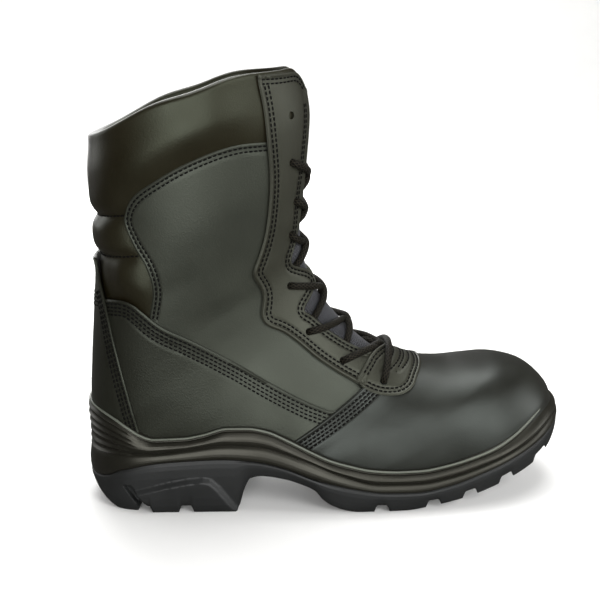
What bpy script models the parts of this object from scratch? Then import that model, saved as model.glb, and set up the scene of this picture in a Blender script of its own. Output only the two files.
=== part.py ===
"""Safety boot for the right foot: a hollow leather upper on a cup midsole and a lugged outsole.

All sizes are millimetres until a mesh is made. In the working frame X runs from the back of the heel
to the toe, Y to the wearer's left (the inner, medial side of a right foot) and Z up from the floor.
The upper is one function, skin(u, v): v counts the cross sections in SECTIONS from the toe to the
collar, and u runs from the outer (lateral) back or foot edge at -1 over the front at 0 to +1.
"""

import math

import bpy
import numpy as np

MM = 0.001
GAP = 0.3

# Wall and leather thicknesses
UPPER_WALL = 2.6
COLLAR_PAD_IN = 2.5
COLLAR_PAD_OUT = 3.6
OVERLAY = 1.5
VAMP_STEP = GAP + OVERLAY
OVERLAY_OUTER = GAP + OVERLAY
SECOND_INNER = OVERLAY_OUTER + GAP
SECOND_OUTER = SECOND_INNER + OVERLAY
CUP_CLEAR = OVERLAY_OUTER + GAP

# Bottom of the last, seen from above: distance from the centre line to the outer and inner edge
LAST_HEEL_X = 8.0
LAST_TOE_X = 300.0
SOLE_MARGIN = 8.0
SOLE_LENGTH = LAST_TOE_X - LAST_HEEL_X + 2 * SOLE_MARGIN
OUTLINE_COLUMNS = ("x", "lateral", "medial")
LAST_OUTLINE = (
    (8, 0, 0),
    (12, 15, 15),
    (27, 28, 27),
    (54, 32, 30),
    (82, 34.5, 29.5),
    (109, 37.5, 29.5),
    (141, 44, 36),
    (170, 48, 43),
    (191, 49, 45),
    (208, 49, 46),
    (232, 47, 46.5),
    (257, 42, 46),
    (278, 31.5, 41),
    (293, 15, 29.5),
    (300, -9, 9),
)

# Cross sections of the upper. Each lies in a plane through a back (or foot) point and a front (or top)
# point of the side view. wide_* is the largest half width, reached at the share wide_at of the way.
SECTION_COLUMNS = (
    "back_x", "back_z", "front_x", "front_z", "front_y",
    "wide_lateral", "wide_medial", "wide_at", "back_round", "front_round", "bow",
)
SECTIONS = (
    (208, 19.0, 299.0, 36.0, 9.0, 49.4, 46.4, 0.20, 2.0, 2.30, 0.0),
    (201, 19.0, 301.5, 47.0, 9.0, 50.0, 46.7, 0.21, 2.0, 2.30, 0.0),
    (193, 19.0, 299.5, 56.0, 9.0, 50.3, 46.8, 0.22, 2.0, 2.30, 0.0),
    (184, 19.2, 292.5, 65.2, 8.5, 50.4, 46.8, 0.24, 2.0, 2.25, 0.0),
    (172, 20.0, 280.0, 73.5, 8.0, 50.3, 46.8, 0.26, 2.0, 2.20, 0.0),
    (157, 21.5, 262.0, 77.0, 7.0, 49.5, 45.5, 0.29, 2.0, 2.20, 0.0),
    (142, 24.0, 238.0, 76.8, 5.0, 48.0, 43.0, 0.32, 2.0, 2.15, 0.0),
    (126, 27.5, 214.0, 79.0, 3.0, 45.0, 39.5, 0.34, 2.0, 2.10, 0.0),
    (109, 31.0, 194.0, 86.8, 2.0, 41.5, 36.5, 0.34, 2.0, 2.05, 0.0),
    (82, 35.5, 176.0, 100.8, 1.0, 38.5, 35.0, 0.34, 2.0, 2.00, 0.0),
    (54, 37.5, 161.0, 116.5, 0.0, 36.0, 34.0, 0.36, 2.0, 2.00, 0.0),
    (27, 38.5, 150.5, 131.0, 0.0, 34.8, 33.5, 0.38, 2.2, 2.00, 0.0),
    (8, 47.0, 144.0, 146.0, 0.0, 34.5, 33.5, 0.42, 2.5, 2.00, 0.0),
    (7.5, 66.0, 141.5, 157.0, 0.0, 35.0, 34.2, 0.43, 2.5, 2.00, 0.0),
    (9.5, 92.0, 141.0, 170.0, 0.0, 37.0, 36.2, 0.45, 2.4, 2.00, 0.0),
    (13, 124.0, 142.5, 191.0, 0.0, 40.5, 39.5, 0.46, 2.3, 2.00, 0.0),
    (16, 158.0, 144.0, 213.0, 0.0, 44.0, 43.0, 0.46, 2.3, 2.05, 1.0),
    (15.5, 193.0, 145.5, 238.0, 0.0, 47.0, 45.5, 0.46, 2.4, 2.10, 5.0),
    (16, 229.0, 141.0, 266.0, 0.0, 49.0, 47.0, 0.46, 2.4, 2.20, 11.5),
)
VAMP_EDGE_V = 8.0
HEEL_V = 12.0
RIM_V = len(SECTIONS) - 1.0
BACK_SHARE = 0.42

# Rows of the upper's mesh, by v, and its columns on each side
THROAT_V = 8.55
STEP_V = VAMP_EDGE_V - 0.12
UPPER_ROWS = (
    (0.0, 7.5, 11), (STEP_V, VAMP_EDGE_V, 2), (8.3, THROAT_V, 2), (8.62, 8.8, 2),
    (9.3, 11.0, 3), (11.5, HEEL_V, 2), (12.8, 15.2, 3), (15.7, RIM_V, 8),
)
SIDE_COLUMNS = 11

# Half width of the throat opening, by v, and the round upper front corner of the quarters
THROAT_GAP = ((8.55, 0), (8.62, 8), (8.8, 15), (9.2, 19), (10, 20), (11, 19), (13, 15), (15, 12), (18, 10))
CORNER_REACH = 0.22
CORNER_DROP = 0.5

# Side view lines on the upper, as x, z
QUARTER_SEAM = (
    (46, 124), (49, 142), (46, 156), (39, 170), (35, 184), (40, 196),
    (55, 207), (77, 218), (100, 225), (122, 226),
)
COLLAR_FADE = 12.0
COLLAR_FRONT_X = (96.0, 110.0)
PAD_SEAMS_Z = (159.5, 184.0)
PAD_SEAM_HALF = 4.5
LOW_PAD_V = (15.2, 16.0)
LOW_PAD_SHARE = 0.4

# Heights along the sole, as x, z: where it meets the floor, where the outsole ends, the groove half way
# up the midsole, the lip that holds the upper, and the seat of the midsole inside the outsole
BOTTOM_LINE = (
    (0, 15), (4, 8.5), (10, 3), (17, 0), (91, 0), (93.5, 3), (97, 14), (101, 21), (108, 22.5),
    (122, 21), (134, 17.5), (141, 14), (146, 8), (152, 4), (160, 1.2), (168, 0), (197, 0),
    (212, 1.6), (228, 4), (240, 6.3), (252, 9.5), (266, 13.7), (280, 17.8), (292, 22), (301, 26.5), (308, 31),
)
OUTSOLE_LINE = (
    (0, 18), (11, 21), (21, 27), (41, 34), (61, 36), (84, 37), (105, 35), (122, 31), (144, 21),
    (165, 16), (185, 13), (204, 12.5), (225, 15.5), (246, 21.5), (264, 27), (285, 34), (299, 38.5), (308, 41),
)
GROOVE_LINE = (
    (0, 36), (28, 39), (42, 40.5), (62, 44), (85, 46.5), (106, 45), (133, 36.5), (157, 25),
    (180, 19), (205, 18.3), (225, 20.8), (250, 27), (275, 35), (292, 42), (308, 47.5),
)
LIP_LINE = (
    (0, 62), (8, 61.5), (18, 59.5), (26, 55), (34, 50), (42, 47.5), (60, 48), (72, 50), (88, 54),
    (100, 54), (112, 52), (124, 47), (140, 39), (151, 34), (163, 30.5), (176, 27.5), (194, 26),
    (206, 26), (225, 28.3), (244, 32.5), (259, 36.5), (271, 41), (281, 46), (290, 51), (298, 55), (308, 57.5),
)
SEAT_LINE = (
    (0, 20), (40, 24), (85, 26.5), (105, 26.5), (125, 24), (145, 16), (165, 10), (190, 8.5), (212, 9),
    (230, 11), (260, 18), (285, 26), (300, 31.5), (308, 35),
)
SEAT_INSET = 5.5
TREAD_INSET = 3.5
SOLE_STATIONS = (
    0, 1.5, 6, 14, 26, 40, 60, 76, 91, 93.5, 97, 101, 112, 126, 140, 147, 155,
    168, 197, 212, 228, 246, 262, 277, 289, 298, 304.5, 308,
)

# Side of the midsole from the outsole up: share of the height below and above the groove, and inset
LOWER_BAND = ((0.0, 1.2), (0.14, 0.2), (0.7, 0.9))
GROOVE_INSET = 3.0
UPPER_BAND = ((0.16, 1.9), (0.36, 2.2), (0.54, 1.9), (0.74, 2.5), (1.0, 3.0))
HEEL_RIBS = (0.36, 0.74)
HEEL_RIB_DEPTH = 1.3
HEEL_RIB_REACH_X = 34.0

# Tread: grooves across the sole, by x
TREAD_GROOVES_X = (41, 67, 190, 222, 245, 268, 291)
TREAD_GROOVE_WIDTH = 8.0
TREAD_GROOVE_DEPTH = 4.5
TREAD_SPINE_HALF = 9.0
TREAD_SWEEP_DEG = 10.0

INSOLE_THICK = 4.0
INSOLE_CLEAR = 0.4
SLAB_SPARE = 6.0

# Tongue
TONGUE_V = (8.35, 18.09)
TONGUE_CORNER = 0.16
TONGUE_ROWS = 13
TONGUE_COLUMNS = 3
TONGUE_REACH = 0.30
TONGUE_THICK = 5.0
TONGUE_CLEAR = 0.6

# Overlays, as side view outlines x, z. A smooth edge line is closed by a few plain corners.
EYESTAY_EDGE = (
    (114, 262), (116, 247), (119, 222), (119, 202), (116, 174), (107, 149), (113, 135), (111, 122),
    (122, 111), (140, 97), (158, 83), (171, 75.6),
)
EYESTAY_MIN_Y = 7.0
EYESTAY_CLOSE = ((198, 94.7), (225, 94.7), (225, 300), (110, 300))
TAB_EDGE = (
    (185, 110), (181, 92), (169, 78), (172, 73.5), (181, 69), (190, 67), (199, 67.5), (206, 70),
    (210.5, 75), (213, 83), (216, 100),
)
TAB_CLOSE = ((216, 130), (185, 130))
COUNTER_EDGE = (
    (-20, 134), (20, 134), (31, 135), (41, 130), (52, 120), (70, 110), (95, 94), (120, 78), (139, 67),
    (150, 61),
)
COUNTER_CLOSE = ((100, 25.8), (100, 5), (-20, 5))
BACKSTAY_EDGE = (
    (-20, 158), (13, 158), (17, 156.5), (19, 146), (22, 131), (25, 112), (29, 88), (33, 66), (34.5, 53.2),
)
BACKSTAY_CLOSE = ((26.5, 57.2), (18, 61.7), (8, 63.0), (-20, 63.4))

# Lace: holes on each side from the collar to the toe, in the side view, and the cord
EYELETS = ((132, 240), (132, 213), (134, 189), (131, 169), (130, 137), (141, 108), (161.5, 89), (186, 74))
EYELET_RADIUS = 2.3
EYELET_SIDES = 6
LACE_RADIUS = 1.8
LACE_SIDES = 6
LACE_CLEAR = 0.8
LACE_END_MARGIN = 4.5
LACE_LOWEST_V = 8.82
LACE_DIVE_SHARE = 0.8
LACE_POINTS = 6

LEATHER_COLOUR = (0.022, 0.024, 0.022)
RUBBER_COLOUR = (0.020, 0.022, 0.024)
TEXTILE_COLOUR = (0.030, 0.030, 0.032)
LACE_COLOUR = (0.018, 0.015, 0.013)


def smooth(knots, values, at, limited=True):
    """Cubic curve through values at the knots. Limited slopes keep it from overshooting."""
    knots = np.asarray(knots, float)
    values = np.asarray(values, float)
    at = np.clip(np.asarray(at, float), knots[0], knots[-1])
    flat = values.ndim == 1
    values = values[:, None] if flat else values
    width = np.diff(knots)[:, None]
    slope = np.diff(values, axis=0) / width
    tangent = np.concatenate([slope[:1], slope, slope[-1:]])
    before, after = tangent[:-1], tangent[1:]
    if limited:
        total = before + after
        tangent = np.where(before * after > 0, 2 * before * after / np.where(total == 0, 1, total), 0)
        tangent[0], tangent[-1] = slope[0], slope[-1]
    else:
        tangent = (before + after) / 2
    i = np.clip(np.searchsorted(knots, at, side="right") - 1, 0, len(knots) - 2)
    w = width[i]
    t = ((at - knots[i])[..., None]) / w
    a, b = values[i], values[i + 1]
    ma, mb = tangent[i] * w, tangent[i + 1] * w
    out = (
        (2 * t**3 - 3 * t**2 + 1) * a + (t**3 - 2 * t**2 + t) * ma
        + (3 * t**2 - 2 * t**3) * b + (t**3 - t**2) * mb
    )
    return out[..., 0] if flat else out


def line_height(line, x):
    """Height of a sole line at x."""
    table = np.array(line, float)
    return smooth(table[:, 0], table[:, 1], x)


def step(low, high, x):
    """0 below low, 1 above high, and a soft rise between them."""
    t = np.clip((x - low) / (high - low), 0, 1)
    return t * t * (3 - 2 * t)


def outline_angle(x):
    """Angle that opens the round ends of the last's outline, 0 at the heel and pi at the toe."""
    share = (np.asarray(x, float) - LAST_HEEL_X) / (LAST_TOE_X - LAST_HEEL_X)
    return np.arccos(np.clip(1 - 2 * share, -1, 1))


def last_half_width(x, side):
    """Half width of the last's bottom at x. Side is -1 for lateral and +1 for medial."""
    table = np.array(LAST_OUTLINE, float)
    column = OUTLINE_COLUMNS.index("lateral" if side < 0 else "medial")
    return smooth(outline_angle(table[:, 0]), table[:, column], outline_angle(x), limited=False)


# The skin of the upper


def section_values(v):
    """The section table's columns at v, as a dict of arrays."""
    table = np.array(SECTIONS, float)
    found = smooth(np.arange(len(table)), table, v)
    overshoot = np.asarray(v, float) - RIM_V
    beyond = np.where(overshoot > 0, overshoot, 0)[..., None] * (table[-1] - table[-2])
    found = found + beyond
    return dict(zip(SECTION_COLUMNS, np.moveaxis(found, -1, 0)))


def skin(u, v):
    """Points of the upper's outer surface, without its padding and steps."""
    u, v = np.broadcast_arrays(np.asarray(u, float), np.asarray(v, float))
    row = section_values(v)
    lateral = u < 0
    along = 1 - np.abs(u)
    widest = np.where(lateral, row["wide_lateral"], row["wide_medial"])
    foot_x = np.clip(row["back_x"], LAST_HEEL_X, None)
    foot = np.where(lateral, last_half_width(foot_x, -1), last_half_width(foot_x, +1))
    foot = np.where(v >= HEEL_V, 0, foot)
    back_angle = np.clip(along / BACK_SHARE, 0, 1) * math.pi / 2
    front_angle = np.clip((along - BACK_SHARE) / (1 - BACK_SHARE), 0, 1) * math.pi / 2
    front_power = 2 / row["front_round"]
    in_back = along <= BACK_SHARE
    # A closed section is round at the back; an open one starts further along the same round
    power = row["back_round"]
    start = (1 - np.clip(foot / widest, 0, 1) ** power) ** (1 / power)
    closing = step(10.5, HEEL_V, v)
    back_way = closing * (1 - np.cos(back_angle)) + (1 - closing) * back_angle / (math.pi / 2)
    back_half = widest * (1 - (start * (1 - back_way)) ** power) ** (1 / power)
    share = np.where(
        in_back,
        row["wide_at"] * back_way,
        row["wide_at"] + (1 - row["wide_at"]) * np.sin(front_angle) ** front_power,
    )
    half = np.where(
        in_back,
        back_half,
        widest * np.clip(np.cos(front_angle), 0, 1) ** front_power,
    )
    x = row["back_x"] + share * (row["front_x"] - row["back_x"])
    z = row["back_z"] + share * (row["front_z"] - row["back_z"])
    z = z + row["bow"] * np.sin(math.pi * share) ** 2
    y = row["front_y"] * np.clip(share, 0, None) ** 1.5 + np.where(lateral, -half, half)
    return np.stack([x, y, z], axis=-1)


def throat_edge_u(v):
    """How far from the front line, in u, the quarters stop to leave the throat open."""
    table = np.array(THROAT_GAP, float)
    gap = np.where(np.asarray(v) <= THROAT_V, 0, smooth(table[:, 0], table[:, 1], v))
    row = section_values(v)
    cosine = np.clip(gap / row["wide_lateral"], 0, 1) ** (row["front_round"] / 2)
    return (1 - BACK_SHARE) * (1 - np.arccos(cosine) / (math.pi / 2))


def seam_distance(x, z):
    """Signed distance in the side view to the quarter's upper seam, positive on the collar."""
    seam = np.array(QUARTER_SEAM, float)
    best = np.full(np.shape(x), 1e9)
    sign = np.zeros(np.shape(x))
    for (ax, az), (bx, bz) in zip(seam[:-1], seam[1:]):
        dx, dz = bx - ax, bz - az
        t = np.clip(((x - ax) * dx + (z - az) * dz) / (dx * dx + dz * dz), 0, 1)
        away = np.hypot(x - ax - t * dx, z - az - t * dz)
        turn = dx * (z - az) - dz * (x - ax)
        nearer = away < best
        best = np.where(nearer, away, best)
        sign = np.where(nearer, np.sign(turn), sign)
    return best * sign


def collar_share(points, v):
    """0 on the quarter and 1 on the padded collar, pinched at the pad seams and at the rim."""
    x, z = points[..., 0], points[..., 2]
    share = step(0, COLLAR_FADE, seam_distance(x, z)) * step(0, 0.55, RIM_V + 0.02 - v)
    for seam_z in PAD_SEAMS_Z:
        behind = 1 - step(34, 46, x)
        share = share * (1 - 0.9 * behind * np.exp(-(((z - seam_z) / PAD_SEAM_HALF) ** 2)))
    share = share * (1 - step(*COLLAR_FRONT_X, x))
    low = np.where(z < PAD_SEAMS_Z[0], LOW_PAD_SHARE, 1)
    return share * low * step(*LOW_PAD_V, v)


# Meshes


def row_values(bands):
    """The v of each row, from (first, last, count) bands."""
    return np.concatenate([np.linspace(*band) for band in bands])


def split_quads(points, quads):
    """Quads cut along the shorter diagonal, so that neighbours a gap apart have the same facets."""
    faces = []
    for a, b, c, d in quads:
        if np.linalg.norm(points[a] - points[c]) < np.linalg.norm(points[b] - points[d]):
            faces += [[a, b, c], [a, c, d]]
        else:
            faces += [[a, b, d], [b, c, d]]
    return faces


class SkinGrid:
    """The upper's welded grid: points, outward normals and quads, with v for each point."""

    def __init__(self):
        self.rows = row_values(UPPER_ROWS)
        self.ids = {}
        points, heights = [], []
        for i, v in enumerate(self.rows):
            edge = float(throat_edge_u(v))
            for side in (-1, 1):
                for j in range(SIDE_COLUMNS + 1):
                    key = self.key(i, side, j)
                    if key in self.ids:
                        continue
                    along = (1 - edge) * j / SIDE_COLUMNS
                    reach = step(1 - edge - CORNER_REACH, 1 - edge, along)
                    drop = CORNER_DROP * reach**2 * step(RIM_V - 1.5, RIM_V, v) * (v > THROAT_V)
                    self.ids[key] = len(points)
                    points.append(skin(side * (1 - along) or 1e-9, v - drop))
                    heights.append(v - drop)
        self.points = np.array(points)
        self.v = np.array(heights)
        self.quads = self.make_quads()
        self.normals = self.make_normals()
        self.faces = split_quads(self.points, self.quads)

    def key(self, i, side, j):
        welded_back = j == 0 and self.rows[i] >= HEEL_V
        welded_front = j == SIDE_COLUMNS and self.rows[i] <= THROAT_V
        return (i, 0 if welded_back or welded_front else side, j)

    def at(self, i, side, j):
        return self.ids[self.key(i, side, j)]

    def make_quads(self):
        quads = []
        for i in range(len(self.rows) - 1):
            for j in range(SIDE_COLUMNS):
                for side in (-1, 1):
                    quad = [self.at(i, side, j), self.at(i, side, j + 1),
                            self.at(i + 1, side, j + 1), self.at(i + 1, side, j)]
                    quads.append(quad if side < 0 else quad[::-1])
        return quads

    def make_normals(self):
        p, q = self.points, np.array(self.quads)
        face = np.cross(p[q[:, 2]] - p[q[:, 0]], p[q[:, 3]] - p[q[:, 1]])
        total = np.zeros_like(p)
        for corner in range(4):
            np.add.at(total, q[:, corner], face)
        return total / np.linalg.norm(total, axis=1)[:, None]

    def foot_edge(self):
        """The foot boundary as pairs of lateral and medial points, from the heel to the toe tip."""
        heel = int(np.argmax(self.rows >= HEEL_V))
        pairs = [(self.at(i, -1, 0), self.at(i, 1, 0)) for i in range(heel, -1, -1)]
        return pairs + [(self.at(0, -1, j), self.at(0, 1, j)) for j in range(1, SIDE_COLUMNS + 1)]

    def top_edge(self):
        """The collar and throat boundary as pairs, from the back of the rim to the throat's foot."""
        last = len(self.rows) - 1
        throat = int(np.argmax(self.rows > THROAT_V)) - 1
        rim = [(self.at(last, -1, j), self.at(last, 1, j)) for j in range(SIDE_COLUMNS + 1)]
        return rim + [(self.at(i, -1, SIDE_COLUMNS), self.at(i, 1, SIDE_COLUMNS))
                      for i in range(last - 1, throat - 1, -1)]


def new_object(name, points, faces, material):
    """A mesh object from millimetre points, smooth but for its sharp edges."""
    mesh = bpy.data.meshes.new(name)
    mesh.from_pydata([tuple(p) for p in np.asarray(points) * MM], [], [list(f) for f in faces])
    mesh.validate()
    mesh.shade_smooth()
    mesh.set_sharp_from_angle(angle=math.radians(40))
    if material:
        mesh.materials.append(material)
    obj = bpy.data.objects.new(name, mesh)
    bpy.context.scene.collection.objects.link(obj)
    return obj


def boundary_edges(faces):
    """Directed edges that only one face uses."""
    seen = set()
    for face in faces:
        for a, b in zip(face, face[1:] + face[:1]):
            seen.add((a, b))
    return [(a, b) for a, b in seen if (b, a) not in seen]


def wall_object(name, outer, inner, faces, material):
    """A closed wall between two sheets that share one set of faces."""
    count = len(outer)
    solid = list(faces) + [[i + count for i in reversed(face)] for face in faces]
    solid += [[b, a, a + count, b + count] for a, b in sorted(boundary_edges(faces))]
    return new_object(name, np.concatenate([outer, inner]), solid, material)


def ruled_faces(pairs, upward):
    """Faces across a boundary given as lateral and medial pairs."""
    faces = []
    for (a, b), (c, d) in zip(pairs[:-1], pairs[1:]):
        corners = list(dict.fromkeys([a, c, d, b]))
        if len(corners) > 2:
            faces.append(corners if upward else corners[::-1])
    return faces


def helper(obj):
    """Marks a cutter, which isn't part of the boot."""
    obj.hide_render = True
    obj.display_type = "WIRE"
    return obj


def boolean(obj, other, operation):
    """Applies a Boolean of the object with a cutter."""
    modifier = obj.modifiers.new(operation.lower(), "BOOLEAN")
    modifier.operation = operation
    modifier.solver = "EXACT"
    modifier.object = other
    graph = bpy.context.evaluated_depsgraph_get()
    mesh = bpy.data.meshes.new_from_object(obj.evaluated_get(graph))
    obj.modifiers.clear()
    obj.data = mesh
    return obj


def make_material(name, colour, roughness):
    material = bpy.data.materials.new(name)
    material.use_nodes = True
    shader = material.node_tree.nodes["Principled BSDF"]
    shader.inputs["Base Color"].default_value = (*colour, 1)
    shader.inputs["Roughness"].default_value = roughness
    shader.inputs["Metallic"].default_value = 0
    return material


# Pieces


def make_upper(grid, leather):
    """The hollow upper: vamp with its raised rear edge, quarters, and the padded collar."""
    padded = collar_share(grid.points, grid.v)
    relief = COLLAR_PAD_OUT * padded + VAMP_STEP * (grid.v <= STEP_V + 1e-6)
    outer = grid.points + grid.normals * relief[:, None]
    inner = grid.points - grid.normals * (UPPER_WALL + COLLAR_PAD_IN * padded)[:, None]
    return wall_object("upper", outer, inner, grid.faces, leather)


def last_form(grid, offset, drop, name):
    """A closed block of the upper's outer form, grown by offset, for cutting its neighbours."""
    points = grid.points + grid.normals * offset
    foot = grid.foot_edge()
    for i in set(sum(foot, ())) if drop else ():
        points[i, 2] -= max(0, grid.normals[i, 2] * (offset + UPPER_WALL)) + drop
    faces = list(grid.faces) + ruled_faces(foot, upward=False) + ruled_faces(grid.top_edge(), upward=True)
    return helper(new_object(name, points, faces, None))


def sole_loop(inset, height):
    """One loop round the sole: lateral points from heel to toe, then medial points back."""
    sides = {}
    for side in (-1, 1):
        angle = np.linspace(0, math.pi, 400)
        x = LAST_HEEL_X + (LAST_TOE_X - LAST_HEEL_X) * (1 - np.cos(angle)) / 2
        y = side * last_half_width(x, side)
        dx, dy = np.gradient(x), np.gradient(y)
        if side < 0:
            dx[0], dy[0], dx[-1], dy[-1] = 0, -1, 0, 1
        else:
            dx[0], dy[0], dx[-1], dy[-1] = 0, 1, 0, -1
        size = np.hypot(dx, dy)
        margin = SOLE_MARGIN - inset
        off_x, off_y = x - side * dy / size * margin, y + side * dx / size * margin
        share = (np.array(SOLE_STATIONS, float)) / SOLE_LENGTH
        start, end = off_x[0], off_x[-1]
        order = np.argsort(off_x)
        at_x = start + (end - start) * share
        rounded = np.interp(np.arccos(np.clip(1 - 2 * share, -1, 1)),
                            np.arccos(np.clip(1 - 2 * (off_x[order] - start) / (end - start), -1, 1)),
                            off_y[order])
        sides[side] = np.stack([at_x, rounded], axis=-1)
    stations = np.array(SOLE_STATIONS, float)
    z = height(stations)
    lateral = np.column_stack([sides[-1], z])
    medial = np.column_stack([sides[1], z])
    return np.concatenate([lateral, medial[-2:0:-1]])


def loop_pairs(first, count, stations):
    """Lateral and medial point numbers of a loop, from the heel to the toe."""
    return [(first + i, first + (count - i) % count) for i in range(stations)]


def stacked(name, loops, material):
    """A closed solid from loops stacked from the bottom up, with ruled ends."""
    count, stations = len(loops[0]), len(SOLE_STATIONS)
    faces = []
    for level in range(len(loops) - 1):
        for i in range(count):
            a, b = level * count + i, level * count + (i + 1) % count
            faces.append([a, b, b + count, a + count])
    faces = split_quads(np.concatenate(loops), faces)
    faces += ruled_faces(loop_pairs(0, count, stations), upward=False)
    faces += ruled_faces(loop_pairs((len(loops) - 1) * count, count, stations), upward=True)
    return new_object(name, np.concatenate(loops), faces, material)


def make_outsole(rubber):
    """Heel block, arch and forefoot, with tread grooves and a seat for the midsole."""

    def between(share):
        return lambda x: (1 - share) * line_height(BOTTOM_LINE, x) + share * line_height(OUTSOLE_LINE, x)

    loops = [
        sole_loop(TREAD_INSET, between(0.0)),
        sole_loop(1.2, between(0.3)),
        sole_loop(0.4, between(0.7)),
        sole_loop(0.6, between(1.0)),
        sole_loop(2.0, between(1.0)),
        sole_loop(SEAT_INSET, lambda x: line_height(SEAT_LINE, x)),
    ]
    outsole = stacked("outsole", loops, rubber)
    return boolean(outsole, tread_cutter(), "DIFFERENCE")


def tread_cutter():
    """All the tread grooves as one cutter: a swept bar on each side of the sole's spine."""
    points, faces = [], []
    reach = 90.0
    half = TREAD_GROOVE_WIDTH / 2
    for x in TREAD_GROOVES_X:
        low, ahead = (float(line_height(BOTTOM_LINE, x + d)) for d in (0, 1))
        slope = math.atan(ahead - low)
        for side in (-1, 1):
            first = len(points)
            for y in (TREAD_SPINE_HALF, reach):
                shift = -(y - TREAD_SPINE_HALF) * math.tan(math.radians(TREAD_SWEEP_DEG))
                for along, up in ((-half - 1, -12), (half + 1, -12), (half - 1, TREAD_GROOVE_DEPTH),
                                  (1 - half, TREAD_GROOVE_DEPTH)):
                    px = x + shift + along * math.cos(slope) - up * math.sin(slope)
                    pz = low + along * math.sin(slope) + up * math.cos(slope)
                    points.append((px, side * y, pz))
            ring = [[0, 1, 5, 4], [1, 2, 6, 5], [2, 3, 7, 6], [3, 0, 4, 7], [3, 2, 1, 0], [4, 5, 6, 7]]
            for face in ring:
                face = [first + i for i in face]
                faces.append(face if side < 0 else face[::-1])
    return helper(new_object("tread_cutter", points, faces, None))


def make_midsole(grid, rubber):
    """The cup that holds the upper, with its groove, its side bands and the ribs at the heel."""

    def heel_share(x):
        return 1 - step(HEEL_RIB_REACH_X * 0.4, HEEL_RIB_REACH_X, x)

    loops = [
        sole_loop(SEAT_INSET, lambda x: line_height(SEAT_LINE, x) + GAP),
        sole_loop(2.0, lambda x: line_height(OUTSOLE_LINE, x) + GAP),
    ]
    for share, inset in LOWER_BAND:
        loops.append(sole_loop(inset, lambda x, s=share: (
            (1 - s) * (line_height(OUTSOLE_LINE, x) + GAP) + s * line_height(GROOVE_LINE, x))))
    loops.append(sole_loop(GROOVE_INSET, lambda x: line_height(GROOVE_LINE, x)))
    stations = np.array(SOLE_STATIONS, float)
    heel = heel_share(np.concatenate([stations, stations[-2:0:-1]]))
    for share, inset in UPPER_BAND:
        def height(x, s=share):
            return (1 - s) * line_height(GROOVE_LINE, x) + s * line_height(LIP_LINE, x)
        plain = sole_loop(inset, height)
        ribbed = sole_loop(inset + (HEEL_RIB_DEPTH if share in HEEL_RIBS else -0.4), height)
        loops.append(plain + (ribbed - plain) * heel[:, None])
    midsole = stacked("midsole", loops, rubber)
    return boolean(midsole, last_form(grid, CUP_CLEAR, GAP, "last_form"), "DIFFERENCE")


def make_insole(grid, textile):
    """The loose footbed on the floor of the cup, cut to the inside of the upper's wall."""
    pairs = grid.foot_edge()
    order = [a for a, _ in pairs] + [b for a, b in pairs[-2:0:-1]]
    count = len(order)
    low = grid.points[order] + grid.normals[order] * [SLAB_SPARE, SLAB_SPARE, 0]
    low[:, 2] = grid.points[order, 2] + GAP
    high = low + [0, 0, INSOLE_THICK]
    faces = [[i, (i + 1) % count, (i + 1) % count + count, i + count] for i in range(count)]
    across = [(i, (count - i) % count) for i in range(len(pairs))]
    faces += ruled_faces(across, upward=False)
    faces += ruled_faces([(a + count, b + count) for a, b in across], upward=True)
    insole = new_object("insole", np.concatenate([low, high]), faces, textile)
    inside = last_form(grid, -UPPER_WALL - INSOLE_CLEAR, 0, "inside_form")
    return boolean(insole, inside, "INTERSECT")


def make_tongue(textile):
    """The padded tongue under the quarters, from the vamp to just above the collar."""
    rows = np.linspace(*TONGUE_V, TONGUE_ROWS)
    columns = np.linspace(-TONGUE_REACH, TONGUE_REACH, 2 * TONGUE_COLUMNS + 1)
    u, v = np.meshgrid(np.where(columns == 0, 1e-9, columns), rows)
    v = v - TONGUE_CORNER * (u / TONGUE_REACH) ** 4 * (v - TONGUE_V[0]) / (TONGUE_V[1] - TONGUE_V[0])
    points = skin(u, v)
    across = np.gradient(points, axis=1)
    upward = np.gradient(points, axis=0)
    normal = np.cross(across, upward)
    normal /= np.linalg.norm(normal, axis=-1)[..., None]
    outer = points - normal * (UPPER_WALL + TONGUE_CLEAR)
    inner = outer - normal * TONGUE_THICK
    width = len(columns)
    faces = [[i * width + j, i * width + j + 1, (i + 1) * width + j + 1, (i + 1) * width + j]
             for i in range(len(rows) - 1) for j in range(width - 1)]
    return wall_object("tongue", outer.reshape(-1, 3), inner.reshape(-1, 3), faces, textile)


def skin_offset(u, v, height):
    """Points at a height over the skin."""
    u, v = np.asarray(u, float), np.asarray(v, float)
    d = 1e-3
    across = skin(u + d, v) - skin(u - d, v)
    upward = skin(u, v + d) - skin(u, v - d)
    normal = np.cross(across, upward)
    normal /= np.linalg.norm(normal, axis=-1)[..., None]
    return skin(u, v) + normal * np.asarray(height, float)[..., None]


def smooth_line(points, count=2):
    """A rounded line through a few corner points."""
    table = np.array(points, float)
    knots = np.concatenate([[0], np.cumsum(np.linalg.norm(np.diff(table, axis=0), axis=1))])
    at = np.concatenate([np.linspace(a, b, count, endpoint=False) for a, b in zip(knots[:-1], knots[1:])])
    return smooth(knots, table, np.append(at, knots[-1]), limited=False)


def side_prism(name, edge, close, low_y, high_y):
    """A block with a side view outline, for cutting an overlay out of a shell."""
    outline = np.concatenate([smooth_line(edge), np.array(close, float)])
    area = np.sum(outline[:, 0] * np.roll(outline[:, 1], -1) - outline[:, 1] * np.roll(outline[:, 0], -1))
    outline = outline if area > 0 else outline[::-1]
    count = len(outline)
    points = [(x, y, z) for y in (low_y, high_y) for x, z in outline]
    faces = [[i, (i + 1) % count, (i + 1) % count + count, i + count] for i in range(count)]
    faces = [face[::-1] for face in faces]
    faces += [list(range(count)), list(range(2 * count - 1, count - 1, -1))]
    return helper(new_object(name, points, [face[::-1] for face in faces], None))


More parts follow.
